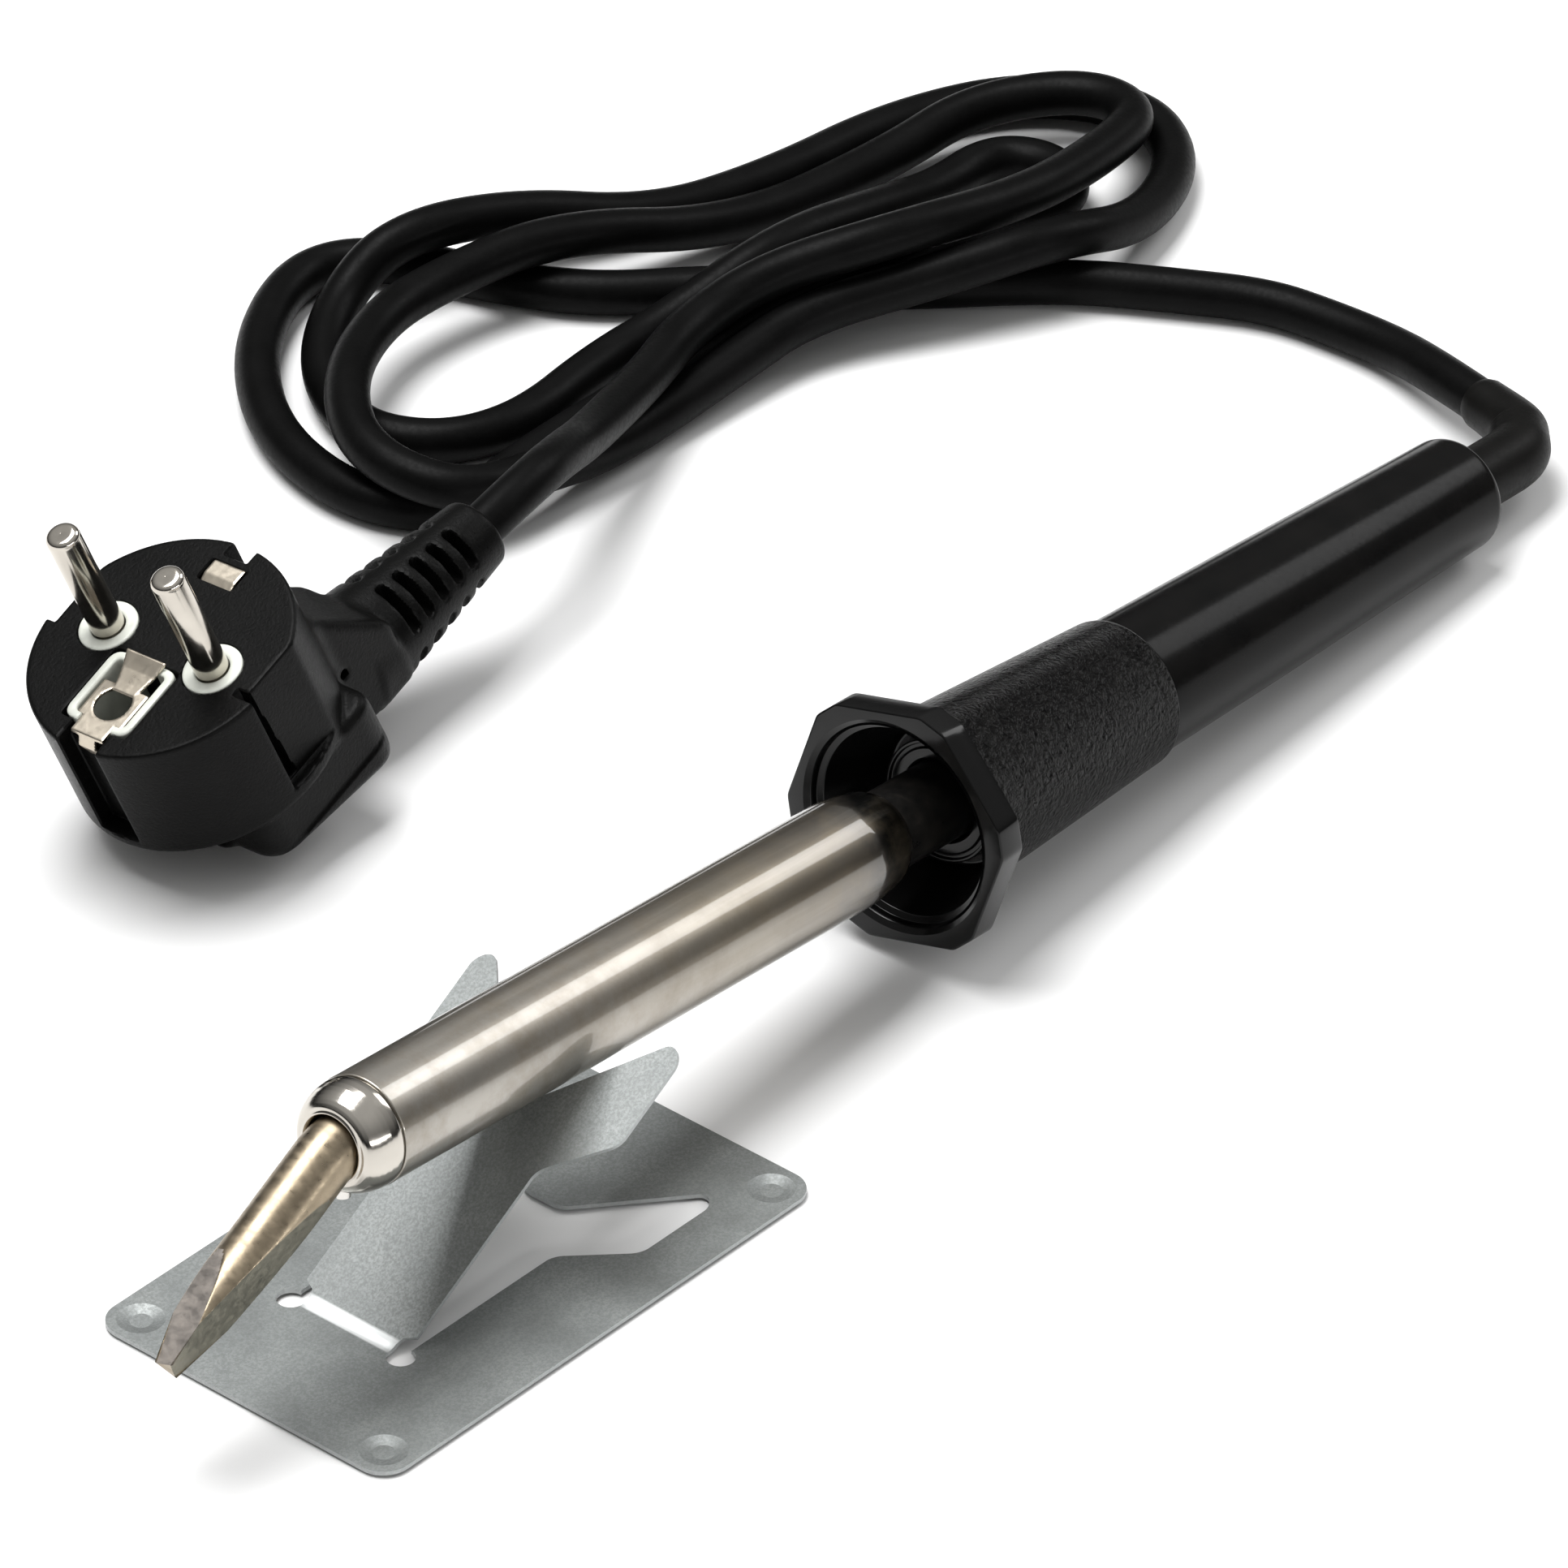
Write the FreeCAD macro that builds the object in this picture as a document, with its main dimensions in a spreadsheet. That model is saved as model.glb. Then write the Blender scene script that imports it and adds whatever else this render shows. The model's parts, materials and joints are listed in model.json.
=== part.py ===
"""Soldering iron on its folded sheet stand, with the mains lead and plug, in millimetres.

Frame: +Z up from the bench, +X from the tip towards the handle along the stand, and the origin
on the bench, below the middle of the stand and iron together.
"""
import FreeCAD, Part
import math
import os

import Sketcher

os.makedirs("parts", exist_ok=True)
doc = FreeCAD.newDocument("soldering_iron_and_stand")
V = FreeCAD.Vector

# ---------------------------------------------------------------- driving dimensions
SIZES = {
    # stand: one punched and folded sheet
    "stand_shift": -90.75,
    "plate_len": 82.8,
    "plate_wide": 50.8,
    "plate_back": 0.6,
    "sheet_thick": 0.6,
    "plate_corner": 4.0,
    "foot_deep": 0.4,
    "foot_rad": 2.6,
    "foot_inset_x": 4.4,
    "foot_inset_y": 4.4,
    "bend_at": -21.9,
    "bend_inner": 2.6,
    "tongue_angle": 30.8,
    "tongue_half": 9.5,
    "relief_rad": 1.95,
    "kerf": 0.15,
    "waist": 7.55,
    "waist_long": 2.0,
    "head_start": 28.7,
    "head_full": 36.7,
    "head_half": 17.6,
    "ear_start": 50.2,
    "ear_end": 52.0,
    "ear_in": 15.4,
    "notch_deep": 37.2,
    "notch_half": 3.0,
    # how the iron lies in the notch
    "rest_x": 24.0,
    "rest_height": 27.2,
    "iron_yaw": 2.5,
    "barrel_pitch": 6.25,
    "handle_pitch": 5.15,
    "pivot_at": 124.0,
    "rest_along": 44.8,
    # barrel and heater
    "barrel_rad": 7.7,
    "barrel_wall": 0.6,
    "barrel_len": 103.4,
    "neck_rad": 5.6,
    "neck_wall": 0.5,
    "neck_from": 92.0,
    "neck_to": 134.0,
    "collar_len": 5.4,
    "collar_gap": 0.3,
    "collar_front": 4.95,
    "collar_spigot": 7.0,
    "tip_rad": 4.15,
    "tip_clear": 0.07,
    "tip_inside": 60.0,
    "tip_bend": 32.4,
    "tip_bend_rad": 10.0,
    "tip_bend_at": -2.4,
    "tip_straight": 33.2,
    "former_rad": 5.1,
    "former_from": 9.0,
    "former_to": 70.0,
    "winding_rad": 5.7,
    "winding_from": 12.0,
    "winding_to": 68.0,
    "wrap_rad": 6.5,
    "bush_from": 79.0,
    "bush_to": 91.0,
    "bush_rad": 6.9,
    "bush_hole": 0.8,
    "bush_pitch": 3.8,
    # handle
    "flange_at": 109.4,
    "flange_thick": 4.5,
    "flange_corner": 18.15,
    "flange_cut": 6.6,
    "flange_turn": 46.0,
    "flange_fillet": 0.8,
    "bowl_rad": 14.6,
    "bowl_slope": 6.6,
    "bowl_deep": 12.5,
    "bowl_floor": 10.4,
    "boss_rad": 8.8,
    "boss_deep": 9.5,
    "grip_front_rad": 12.7,
    "grip_back_rad": 10.75,
    "grip_end": 158.1,
    "grip_cavity": 8.6,
    "grip_cavity_from": 127.0,
    "spigot_rad": 8.2,
    "spigot_len": 9.0,
    "rear_front_rad": 10.1,
    "rear_back_rad": 8.2,
    "rear_end": 235.9,
    "rear_wall": 1.9,
    "rear_round": 1.6,
    "mount_rad": 8.4,
    "mount_thick": 1.5,
    "mount_screw": 7.1,
    "mount_screw_rad": 0.9,
    # connection inside the handle
    "block_from": 136.0,
    "block_len": 17.0,
    "block_wide": 11.5,
    "block_high": 7.0,
    "pole_pitch": 3.8,
    "stop_at": 212.0,
    "stop_len": 7.0,
    "stop_rad": 6.1,
    "tail_from": 205.0,
    # lead and its sleeve
    "lead_rad": 3.25,
    "wire_rad": 1.05,
    "sleeve_rad": 4.1,
    # plug
    "plug_x": 43.0,
    "plug_y": 92.7,
    "plug_height": 31.7,
    "plug_yaw": 2.0,
    "plug_pitch": -21.7,
    "plug_roll": -4.5,
    "skirt_rad": 19.0,
    "skirt_deep": 19.8,
    "slab_half": 17.2,
    "key_half": 17.2,
    "back_deep": 33.0,
    "back_from": -12.0,
    "back_to": 19.0,
    "pin_rad": 2.4,
    "pin_root": 2.2,
    "pin_step": 0.3,
    "pin_len": 19.0,
    "pin_pitch": 19.0,
    "pin_inside": 12.0,
    "earth_hole": 10.5,
    "earth_hole_rad": 2.5,
    "earth_deep": 16.0,
    "insert_half": 5.6,
    "insert_from": -14.4,
    "insert_to": -3.0,
    "collar_ring": 4.3,
    "neck_half": 8.4,
    "neck_end": 29.0,
    "boot_from": 28.4,
    "boot_len": 24.8,
    "boot_deep": 30.6,
    "boot_tilt": 8.2,
    "boot_front_rad": 8.2,
    "boot_back_rad": 5.5,
}

sheet = doc.addObject("Spreadsheet::Sheet", "Sizes")
for row, (alias, number) in enumerate(SIZES.items(), start=1):
    sheet.set("A%d" % row, alias)
    sheet.set("B%d" % row, str(number))
    sheet.setAlias("B%d" % row, alias)
doc.recompute()


def size(alias):
    """The number in the sheet's cell of that name."""
    return float(sheet.get(alias))


def value(expression):
    """The number that an expression on the sheet gives."""
    return float(sheet.evalExpression(expression))


# ---------------------------------------------------------------- building helpers
def origin_plane(body, role):
    return next(f for f in body.Origin.OriginFeatures if f.Role == role)


def new_body(label, place=None):
    body = doc.addObject("PartDesign::Body", label)
    body.Label = label
    body.Placement = place or FreeCAD.Placement()
    return body


def new_sketch(body, role, name, offset=None):
    sketch = body.newObject("Sketcher::SketchObject", name)
    sketch.AttachmentSupport = [(origin_plane(body, role), "")]
    sketch.MapMode = "FlatFace"
    if offset:
        sketch.AttachmentOffset = offset
    return sketch


def bind(sketch, kind, geometry, point, expression):
    """Hold one coordinate of a point at an expression on the sheet."""
    index = sketch.addConstraint(
        Sketcher.Constraint(kind, -1, 1, geometry, point, value(expression)))
    sketch.setExpression("Constraints[%d]" % index, expression)


def polygon(sketch, corners):
    """A closed outline whose corners are pairs of expressions."""
    spots = [V(value(x), value(y), 0) for x, y in corners]
    count = len(spots)
    first = sketch.GeometryCount
    for i in range(count):
        sketch.addGeometry(Part.LineSegment(spots[i], spots[(i + 1) % count]), False)
    for i in range(count):
        nxt = first + (i + 1) % count
        sketch.addConstraint(Sketcher.Constraint("Coincident", first + i, 2, nxt, 1))
    for i, (x, y) in enumerate(corners):
        bind(sketch, "DistanceX", first + i, 1, x)
        bind(sketch, "DistanceY", first + i, 1, y)


def circle(sketch, x, y, radius):
    index = sketch.addGeometry(
        Part.Circle(V(value(x), value(y), 0), V(0, 0, 1), value(radius)), False)
    bind(sketch, "DistanceX", index, 3, x)
    bind(sketch, "DistanceY", index, 3, y)
    rule = sketch.addConstraint(Sketcher.Constraint("Radius", index, value(radius)))
    sketch.setExpression("Constraints[%d]" % rule, radius)


def extrude(body, kind, sketch, length, name, backwards=False, midplane=False):
    """A Pad or Pocket of a sketch by an expression."""
    feature = body.newObject("PartDesign::" + kind, name)
    feature.Profile = sketch
    feature.Length = value(length)
    feature.setExpression("Length", length)
    feature.Reversed = backwards
    feature.Midplane = midplane
    doc.recompute()
    return feature


def cut_through(body, sketch, name):
    feature = body.newObject("PartDesign::Pocket", name)
    feature.Profile = sketch
    feature.Type = 1
    feature.Midplane = True
    doc.recompute()
    return feature


def turned(label, corners, place=None):
    """A body turned about its own X axis from corners (along, radius)."""
    body = new_body(label, place)
    sketch = new_sketch(body, "XZ_Plane", label + "_profile")
    polygon(sketch, corners)
    feature = body.newObject("PartDesign::Revolution", label + "_turned")
    feature.Profile = sketch
    feature.ReferenceAxis = (sketch, ["H_Axis"])
    feature.Angle = 360
    doc.recompute()
    return body


def ring_corners(start, end, inner, outer):
    return [(start, inner), (end, inner), (end, outer), (start, outer)]


def round_edges(body, radius, wanted, name):
    """Fillet the edges of the body's tip that a test picks."""
    base = body.Tip
    names = ["Edge%d" % (i + 1) for i, edge in enumerate(base.Shape.Edges) if wanted(edge)]
    feature = body.newObject("PartDesign::Fillet", name)
    feature.Base = (base, names)
    feature.Radius = value(radius)
    feature.setExpression("Radius", radius)
    doc.recompute()
    return feature


def feature_part(label, shape, place=None):
    """A part whose shape comes straight from Part's functions."""
    part = doc.addObject("Part::Feature", label)
    part.Label = label
    part.Shape = shape
    part.Placement = place or FreeCAD.Placement()
    return part


def joined(shapes):
    whole = shapes[0].fuse(shapes[1:])
    return whole.removeSplitter()


def soft_path(points):
    """Straight runs joined by tangent arcs, each as large as its two runs allow."""
    share = 0.45
    edges = []
    radii = []
    last = points[0]
    for before, corner, after in zip(points, points[1:], points[2:]):
        back = (before - corner)
        ahead = (after - corner)
        trim = share * min(back.Length, ahead.Length)
        turn = math.pi - back.getAngle(ahead)
        radius = trim / math.tan(turn / 2)
        radii.append(radius)
        back.normalize()
        ahead.normalize()
        start = corner + back * trim
        end = corner + ahead * trim
        half = (back + ahead)
        half.normalize()
        centre = corner + half * (radius / math.cos(turn / 2))
        middle = centre - half * radius
        edges.append(Part.LineSegment(last, start).toShape())
        edges.append(Part.Arc(start, middle, end).toShape())
        last = end
    edges.append(Part.LineSegment(last, points[-1]).toShape())
    return Part.Wire(edges), radii


def tube(points, radius, inner=0.0):
    """A round tube along a soft path, with its path's length and radii."""
    wire, radii = soft_path(points)
    direction = points[1] - points[0]
    profile = Part.Wire(Part.Circle(points[0], direction, radius).toShape())
    solid = wire.makePipeShell([profile], True, False)
    if inner:
        hole = Part.Wire(Part.Circle(points[0], direction, inner).toShape())
        solid = solid.cut(wire.makePipeShell([hole], True, False))
    return solid, wire.Length, radii


# ---------------------------------------------------------------- places of the three groups
stand_place = FreeCAD.Placement(
    V(size("stand_shift"), 0, size("foot_deep")), FreeCAD.Rotation())
barrel_turn = FreeCAD.Rotation(size("iron_yaw"), size("barrel_pitch"), 0)
handle_turn = FreeCAD.Rotation(size("iron_yaw"), size("handle_pitch"), 0)
rest_point = V(size("stand_shift") + size("rest_x"), 0, size("rest_height"))
barrel_place = FreeCAD.Placement(
    rest_point - barrel_turn.multVec(V(size("rest_along"), 0, 0)), barrel_turn)
pivot = V(size("pivot_at"), 0, 0)
handle_place = FreeCAD.Placement(
    barrel_place.multVec(pivot) - handle_turn.multVec(pivot), handle_turn)
plug_place = FreeCAD.Placement(
    V(size("stand_shift") + size("plug_x"), size("plug_y"), size("plug_height")),
    FreeCAD.Rotation(size("plug_yaw"), size("plug_pitch"), size("plug_roll")))


# ---------------------------------------------------------------- stand
def stand_sheet():
    """A plate on four pressed feet, with a tongue folded up out of it that ends in two ears."""
    body = new_body("stand_sheet", stand_place)
    outline = new_sketch(body, "XY_Plane", "plate_outline")
    end, side = "Sizes.plate_len / 2", "Sizes.plate_wide / 2"
    back = " - Sizes.plate_back"
    polygon(outline, [("-" + end + back, "-" + side), (end + back, "-" + side),
                      (end + back, side), ("-" + end + back, side)])
    extrude(body, "Pad", outline, "Sizes.sheet_thick", "plate")
    round_edges(body, "Sizes.plate_corner", lambda e: abs(e.tangentAt(e.FirstParameter).z) > 0.9,
                "plate_corners")

    feet = new_sketch(body, "XY_Plane", "feet_outline")
    cups = new_sketch(body, "XY_Plane", "feet_cups", FreeCAD.Placement(
        V(0, 0, size("sheet_thick")), FreeCAD.Rotation()))
    for sx in ("", "-"):
        for sy in ("", "-"):
            x = sx + "(Sizes.plate_len / 2 - Sizes.foot_inset_x)" + back
            y = sy + "(Sizes.plate_wide / 2 - Sizes.foot_inset_y)"
            circle(feet, x, y, "Sizes.foot_rad")
            circle(cups, x, y, "Sizes.foot_rad - Sizes.sheet_thick")
    extrude(body, "Pad", feet, "Sizes.foot_deep", "feet", backwards=True)
    extrude(body, "Pocket", cups, "Sizes.foot_deep", "cups")

    def tongue(grow, shift):
        """Half outlines of the tongue from the bend line to the ears, widened by grow."""
        reach = [("Sizes.head_start", "Sizes.tongue_half"), ("Sizes.head_full", "Sizes.head_half"),
                 ("Sizes.ear_start", "Sizes.head_half"), ("Sizes.ear_end", "Sizes.ear_in"),
                 ("Sizes.notch_deep", "Sizes.notch_half")]
        half = [("%s" % shift, "Sizes.waist + %s" % grow),
                ("%s + Sizes.waist_long * 0.6" % shift, "Sizes.waist + 0.35 + %s" % grow),
                ("%s + Sizes.waist_long" % shift, "Sizes.tongue_half + %s" % grow)]
        half += [("%s + %s" % (shift, x), "%s + %s" % (y, grow)) for x, y in reach]
        return half + [(x, "-(%s)" % y) for x, y in reversed(half)]

    window = new_sketch(body, "XY_Plane", "window_outline")
    polygon(window, tongue("Sizes.kerf", "Sizes.bend_at"))
    cut_through(body, window, "window")
    reliefs = new_sketch(body, "XY_Plane", "relief_holes")
    for sy in ("", "-"):
        circle(reliefs, "Sizes.bend_at", sy + "Sizes.tongue_half", "Sizes.relief_rad")
    cut_through(body, reliefs, "reliefs")

    strip = new_sketch(body, "YZ_Plane", "bend_strip", FreeCAD.Placement(
        V(0, 0, size("bend_at") - size("kerf") / 2), FreeCAD.Rotation()))
    low, high = "0 * Sizes.kerf", "Sizes.sheet_thick"
    polygon(strip, [("-Sizes.waist", low), ("Sizes.waist", low),
                    ("Sizes.waist", high), ("-Sizes.waist", high)])
    axis = strip.addGeometry(Part.LineSegment(
        V(-size("tongue_half"), size("sheet_thick") + size("bend_inner"), 0),
        V(size("tongue_half"), size("sheet_thick") + size("bend_inner"), 0)), True)
    strip.addConstraint(Sketcher.Constraint("Horizontal", axis))
    bind(strip, "DistanceY", axis, 1, "Sizes.sheet_thick + Sizes.bend_inner")
    bind(strip, "DistanceX", axis, 1, "-Sizes.tongue_half")
    bind(strip, "DistanceX", axis, 2, "Sizes.tongue_half")
    bend = body.newObject("PartDesign::Revolution", "bend")
    bend.Profile = strip
    bend.ReferenceAxis = (strip, ["Axis0"])
    bend.Angle = size("tongue_angle")
    bend.setExpression("Angle", "Sizes.tongue_angle")
    bend.Reversed = True
    doc.recompute()

    angle = math.radians(size("tongue_angle"))
    outer = size("bend_inner") + size("sheet_thick")
    lifted = FreeCAD.Placement(
        V(size("bend_at") - size("kerf") / 2 + outer * math.sin(angle), 0,
          outer - outer * math.cos(angle)),
        FreeCAD.Rotation(V(0, 1, 0), -size("tongue_angle")))
    flat = new_sketch(body, "XY_Plane", "tongue_outline", lifted)
    polygon(flat, tongue("0 * Sizes.kerf", "0 * Sizes.kerf"))
    extrude(body, "Pad", flat, "Sizes.sheet_thick", "tongue")
    return body


# ---------------------------------------------------------------- barrel, collar, tip
def barrel_tube():
    """Thin steel tube with its rear end rolled in to the neck."""
    wall = "Sizes.barrel_wall"
    return turned("barrel_tube", [
        ("0 * Sizes.barrel_len", "Sizes.barrel_rad - " + wall),
        ("Sizes.barrel_len - 2.6", "Sizes.barrel_rad - " + wall),
        ("Sizes.barrel_len - 0.9", "Sizes.neck_rad"),
        ("Sizes.barrel_len", "Sizes.neck_rad"),
        ("Sizes.barrel_len", "Sizes.neck_rad + 0.7"),
        ("Sizes.barrel_len - 0.8", "Sizes.neck_rad + 1.4"),
        ("Sizes.barrel_len - 2.2", "Sizes.barrel_rad"),
        ("0 * Sizes.barrel_len", "Sizes.barrel_rad")], barrel_place)


def neck_tube():
    return turned("neck_tube", ring_corners(
        "Sizes.neck_from", "Sizes.neck_to", "Sizes.neck_rad - Sizes.neck_wall", "Sizes.neck_rad"),
        barrel_place)


def tip_collar():
    """Domed nose ring with a spigot that turns inside the barrel's mouth."""
    bore = "Sizes.tip_rad + Sizes.tip_clear"
    seat = "Sizes.barrel_rad - Sizes.barrel_wall - Sizes.tip_clear"
    front = "-Sizes.collar_gap - Sizes.collar_len"
    dome = []
    for step in range(1, 6):
        turn = "%d * 1deg" % (18 * step)
        dome.append(("-Sizes.collar_gap - Sizes.collar_len * sin(%s)" % turn,
                     "Sizes.collar_front + 0.1 + (Sizes.barrel_rad - Sizes.collar_front - 0.1)"
                     " * cos(%s)" % turn))
    body = turned("tip_collar", [
        (front, "Sizes.collar_front"),
        ("Sizes.tip_bend_at + 0.4", bore),
        ("Sizes.collar_spigot", bore),
        ("Sizes.collar_spigot", seat),
        ("-Sizes.collar_gap", seat),
        ("-Sizes.collar_gap", "Sizes.barrel_rad")] + dome, barrel_place)
    screw = new_sketch(body, "XY_Plane", "screw_hole")
    circle(screw, "-Sizes.collar_len / 2 - Sizes.collar_gap", "0 * Sizes.collar_len", "1.27")
    extrude(body, "Pocket", screw, "Sizes.barrel_rad + 1", "screw_bore", backwards=False)
    return body


def tip_screw():
    """Small clamping screw that comes in from below the collar."""
    at = -size("collar_len") / 2 - size("collar_gap")
    seat = size("tip_rad") + size("tip_clear")
    shank = Part.makeCylinder(1.25, size("barrel_rad") - seat + 0.4, V(at, 0, -seat), V(0, 0, -1))
    slot = Part.makeBox(4.0, 0.5, 0.6, V(at - 2, -0.25, -size("barrel_rad") - 0.4))
    return feature_part("tip_screw", shank.cut(slot), barrel_place)


def soldering_tip():
    """Plated rod, bent down in front of the collar and ground to a three-sided chisel."""
    radius = size("tip_rad")
    bend = math.radians(size("tip_bend"))
    turn_rad = size("tip_bend_rad")
    mouth = size("tip_bend_at")
    start = V(size("tip_inside"), 0, 0)
    elbow = V(mouth, 0, 0)
    after = V(mouth - turn_rad * math.sin(bend), 0, -turn_rad * (1 - math.cos(bend)))
    half = bend / 2
    middle = V(mouth - turn_rad * math.sin(half), 0, -turn_rad * (1 - math.cos(half)))
    along = V(-math.cos(bend), 0, -math.sin(bend))
    end = after + along * size("tip_straight")
    wire = Part.Wire([Part.LineSegment(start, elbow).toShape(),
                      Part.Arc(elbow, middle, after).toShape(),
                      Part.LineSegment(after, end).toShape()])
    ring = Part.Wire(Part.Circle(start, V(-1, 0, 0), radius).toShape())
    rod = wire.makePipeShell([ring], True, False)
    side = V(0, 1, 0)
    above = side.cross(along)
    # facet: direction round the rod in degrees, where it starts, how thin it leaves the end
    for facing, begins, left in ((190.0, 3.5, 0.85), (62.0, 16.8, 0.95), (306.0, 13.0, 1.0)):
        turn = math.radians(facing)
        out = side * math.cos(turn) + above * math.sin(turn)
        slope = math.atan2(radius - left, size("tip_straight") - begins)
        normal = out * math.cos(slope) + along * math.sin(slope)
        touch = end + out * left
        block = Part.makeBox(80, 80, 30, V(-40, -40, 0))
        block.Placement = FreeCAD.Placement(touch, FreeCAD.Rotation(V(0, 0, 1), normal))
        rod = rod.cut(block)
    return feature_part("soldering_tip", rod, barrel_place)


def heater():
    """The former round the tip's shank, the wire wound on it, its mica wrap and rear bush."""
    former = turned("heater_former", ring_corners(
        "Sizes.former_from", "Sizes.former_to", "Sizes.tip_rad + Sizes.tip_clear",
        "Sizes.former_rad"), barrel_place)
    winding = turned("heater_winding", ring_corners(
        "Sizes.winding_from", "Sizes.winding_to", "Sizes.former_rad", "Sizes.winding_rad"),
        barrel_place)
    wrap = turned("mica_wrap", ring_corners(
        "Sizes.former_from", "Sizes.former_to", "Sizes.winding_rad", "Sizes.wrap_rad"),
        barrel_place)
    bush = new_body("rear_bush", barrel_place)
    disc = new_sketch(bush, "YZ_Plane", "bush_outline", FreeCAD.Placement(
        V(0, 0, size("bush_from")), FreeCAD.Rotation()))
    circle(disc, "0 * Sizes.bush_rad", "0 * Sizes.bush_rad", "Sizes.bush_rad")
    for sy in ("", "-"):
        circle(disc, sy + "Sizes.bush_pitch", "0 * Sizes.bush_rad", "Sizes.bush_hole")
    extrude(bush, "Pad", disc, "Sizes.bush_to - Sizes.bush_from", "bush")
    return [former, winding, wrap, bush]


# ---------------------------------------------------------------- handle
def front_grip():
    """Grip with a six-cornered flange, a deep bowl round the neck and a spigot at the back."""
    at = "Sizes.flange_at + "
    neck_hole = "Sizes.neck_rad + 0.25"
    body = turned("front_grip", [
        (at + "Sizes.boss_deep", neck_hole),
        ("Sizes.grip_cavity_from", neck_hole),
        ("Sizes.grip_cavity_from", "Sizes.grip_cavity"),
        ("Sizes.grip_end - 2", "Sizes.grip_cavity"),
        ("Sizes.grip_end - 2", "Sizes.spigot_rad - 1.6"),
        ("Sizes.grip_end + Sizes.spigot_len", "Sizes.spigot_rad - 1.6"),
        ("Sizes.grip_end + Sizes.spigot_len", "Sizes.spigot_rad"),
        ("Sizes.grip_end", "Sizes.spigot_rad"),
        ("Sizes.grip_end", "Sizes.grip_back_rad"),
        (at + "Sizes.flange_thick + 4", "Sizes.grip_front_rad"),
        (at + "Sizes.flange_thick + 1", "Sizes.grip_front_rad + 0.8"),
        (at + "Sizes.flange_thick", "Sizes.grip_front_rad + 2"),
        (at + "0", "Sizes.grip_front_rad + 3"),
        (at + "0", "Sizes.bowl_rad"),
        (at + "Sizes.bowl_slope", "Sizes.bowl_floor + 0.5"),
        (at + "Sizes.bowl_deep", "Sizes.bowl_floor"),
        (at + "Sizes.bowl_deep", "Sizes.boss_rad"),
        (at + "Sizes.boss_deep", "Sizes.boss_rad")], handle_place)
    flange = new_sketch(body, "YZ_Plane", "flange_outline", FreeCAD.Placement(
        V(0, 0, size("flange_at")), FreeCAD.Rotation()))
    corners = []
    for k in range(6):
        for side in ("-", "+"):
            turn = "(Sizes.flange_turn + %d %s Sizes.flange_cut) * 1deg" % (60 * k, side)
            corners.append(("Sizes.flange_corner * cos(%s)" % turn,
                            "Sizes.flange_corner * sin(%s)" % turn))
    polygon(flange, corners)
    extrude(body, "Pad", flange, "Sizes.flange_thick", "flange")
    ahead = size("flange_at")
    reach = size("flange_corner")

    def is_corner(edge):
        if len(edge.Vertexes) < 2:
            return False
        ends = [v.Point for v in edge.Vertexes]
        out = [abs(math.hypot(p.y, p.z) - reach) < 0.05 for p in ends]
        return all(out) and abs(ends[0].x - ends[1].x) > 1 and min(p.x for p in ends) > ahead - 1

    round_edges(body, "Sizes.flange_fillet", is_corner, "flange_corners")
    bowl = new_sketch(body, "XZ_Plane", "bowl_profile")
    polygon(bowl, [(at + "-1", "0 * Sizes.bowl_rad"), (at + "-1", "Sizes.bowl_rad"),
                   (at + "0", "Sizes.bowl_rad"), (at + "Sizes.bowl_slope", "Sizes.bowl_floor + 0.5"),
                   (at + "Sizes.bowl_slope", "0 * Sizes.bowl_rad")])
    groove = body.newObject("PartDesign::Groove", "bowl_mouth")
    groove.Profile = bowl
    groove.ReferenceAxis = (bowl, ["H_Axis"])
    groove.Angle = 360
    doc.recompute()
    holes = new_sketch(body, "YZ_Plane", "mount_screw_holes", FreeCAD.Placement(
        V(0, 0, size("grip_cavity_from")), FreeCAD.Rotation()))
    for sy in ("", "-"):
        circle(holes, "0 * Sizes.mount_screw", sy + "Sizes.mount_screw", "Sizes.mount_screw_rad")
    extrude(body, "Pocket", holes, "4.5 * Sizes.mount_thick / Sizes.mount_thick", "mount_holes")
    return body


def rear_handle():
    """Long tapering shell that slips over the grip's spigot and closes round the lead."""
    seat = "Sizes.grip_end + Sizes.spigot_len"
    body = turned("rear_handle", [
        ("Sizes.grip_end", "Sizes.spigot_rad"),
        (seat, "Sizes.spigot_rad"),
        (seat, "Sizes.spigot_rad - 0.8"),
        ("Sizes.rear_end - 4", "Sizes.rear_back_rad - Sizes.rear_wall"),
        ("Sizes.rear_end - 4", "Sizes.sleeve_rad"),
        ("Sizes.rear_end", "Sizes.sleeve_rad"),
        ("Sizes.rear_end", "Sizes.rear_back_rad"),
        ("Sizes.grip_end", "Sizes.rear_front_rad")], handle_place)
    back = size("rear_end")
    outer = size("rear_back_rad")

    def is_back_rim(edge):
        spot = edge.Vertexes[0].Point
        return abs(spot.x - back) < 0.01 and abs(math.hypot(spot.y, spot.z) - outer) < 0.01

    round_edges(body, "Sizes.rear_round", is_back_rim, "rear_rim")
    return body


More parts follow.
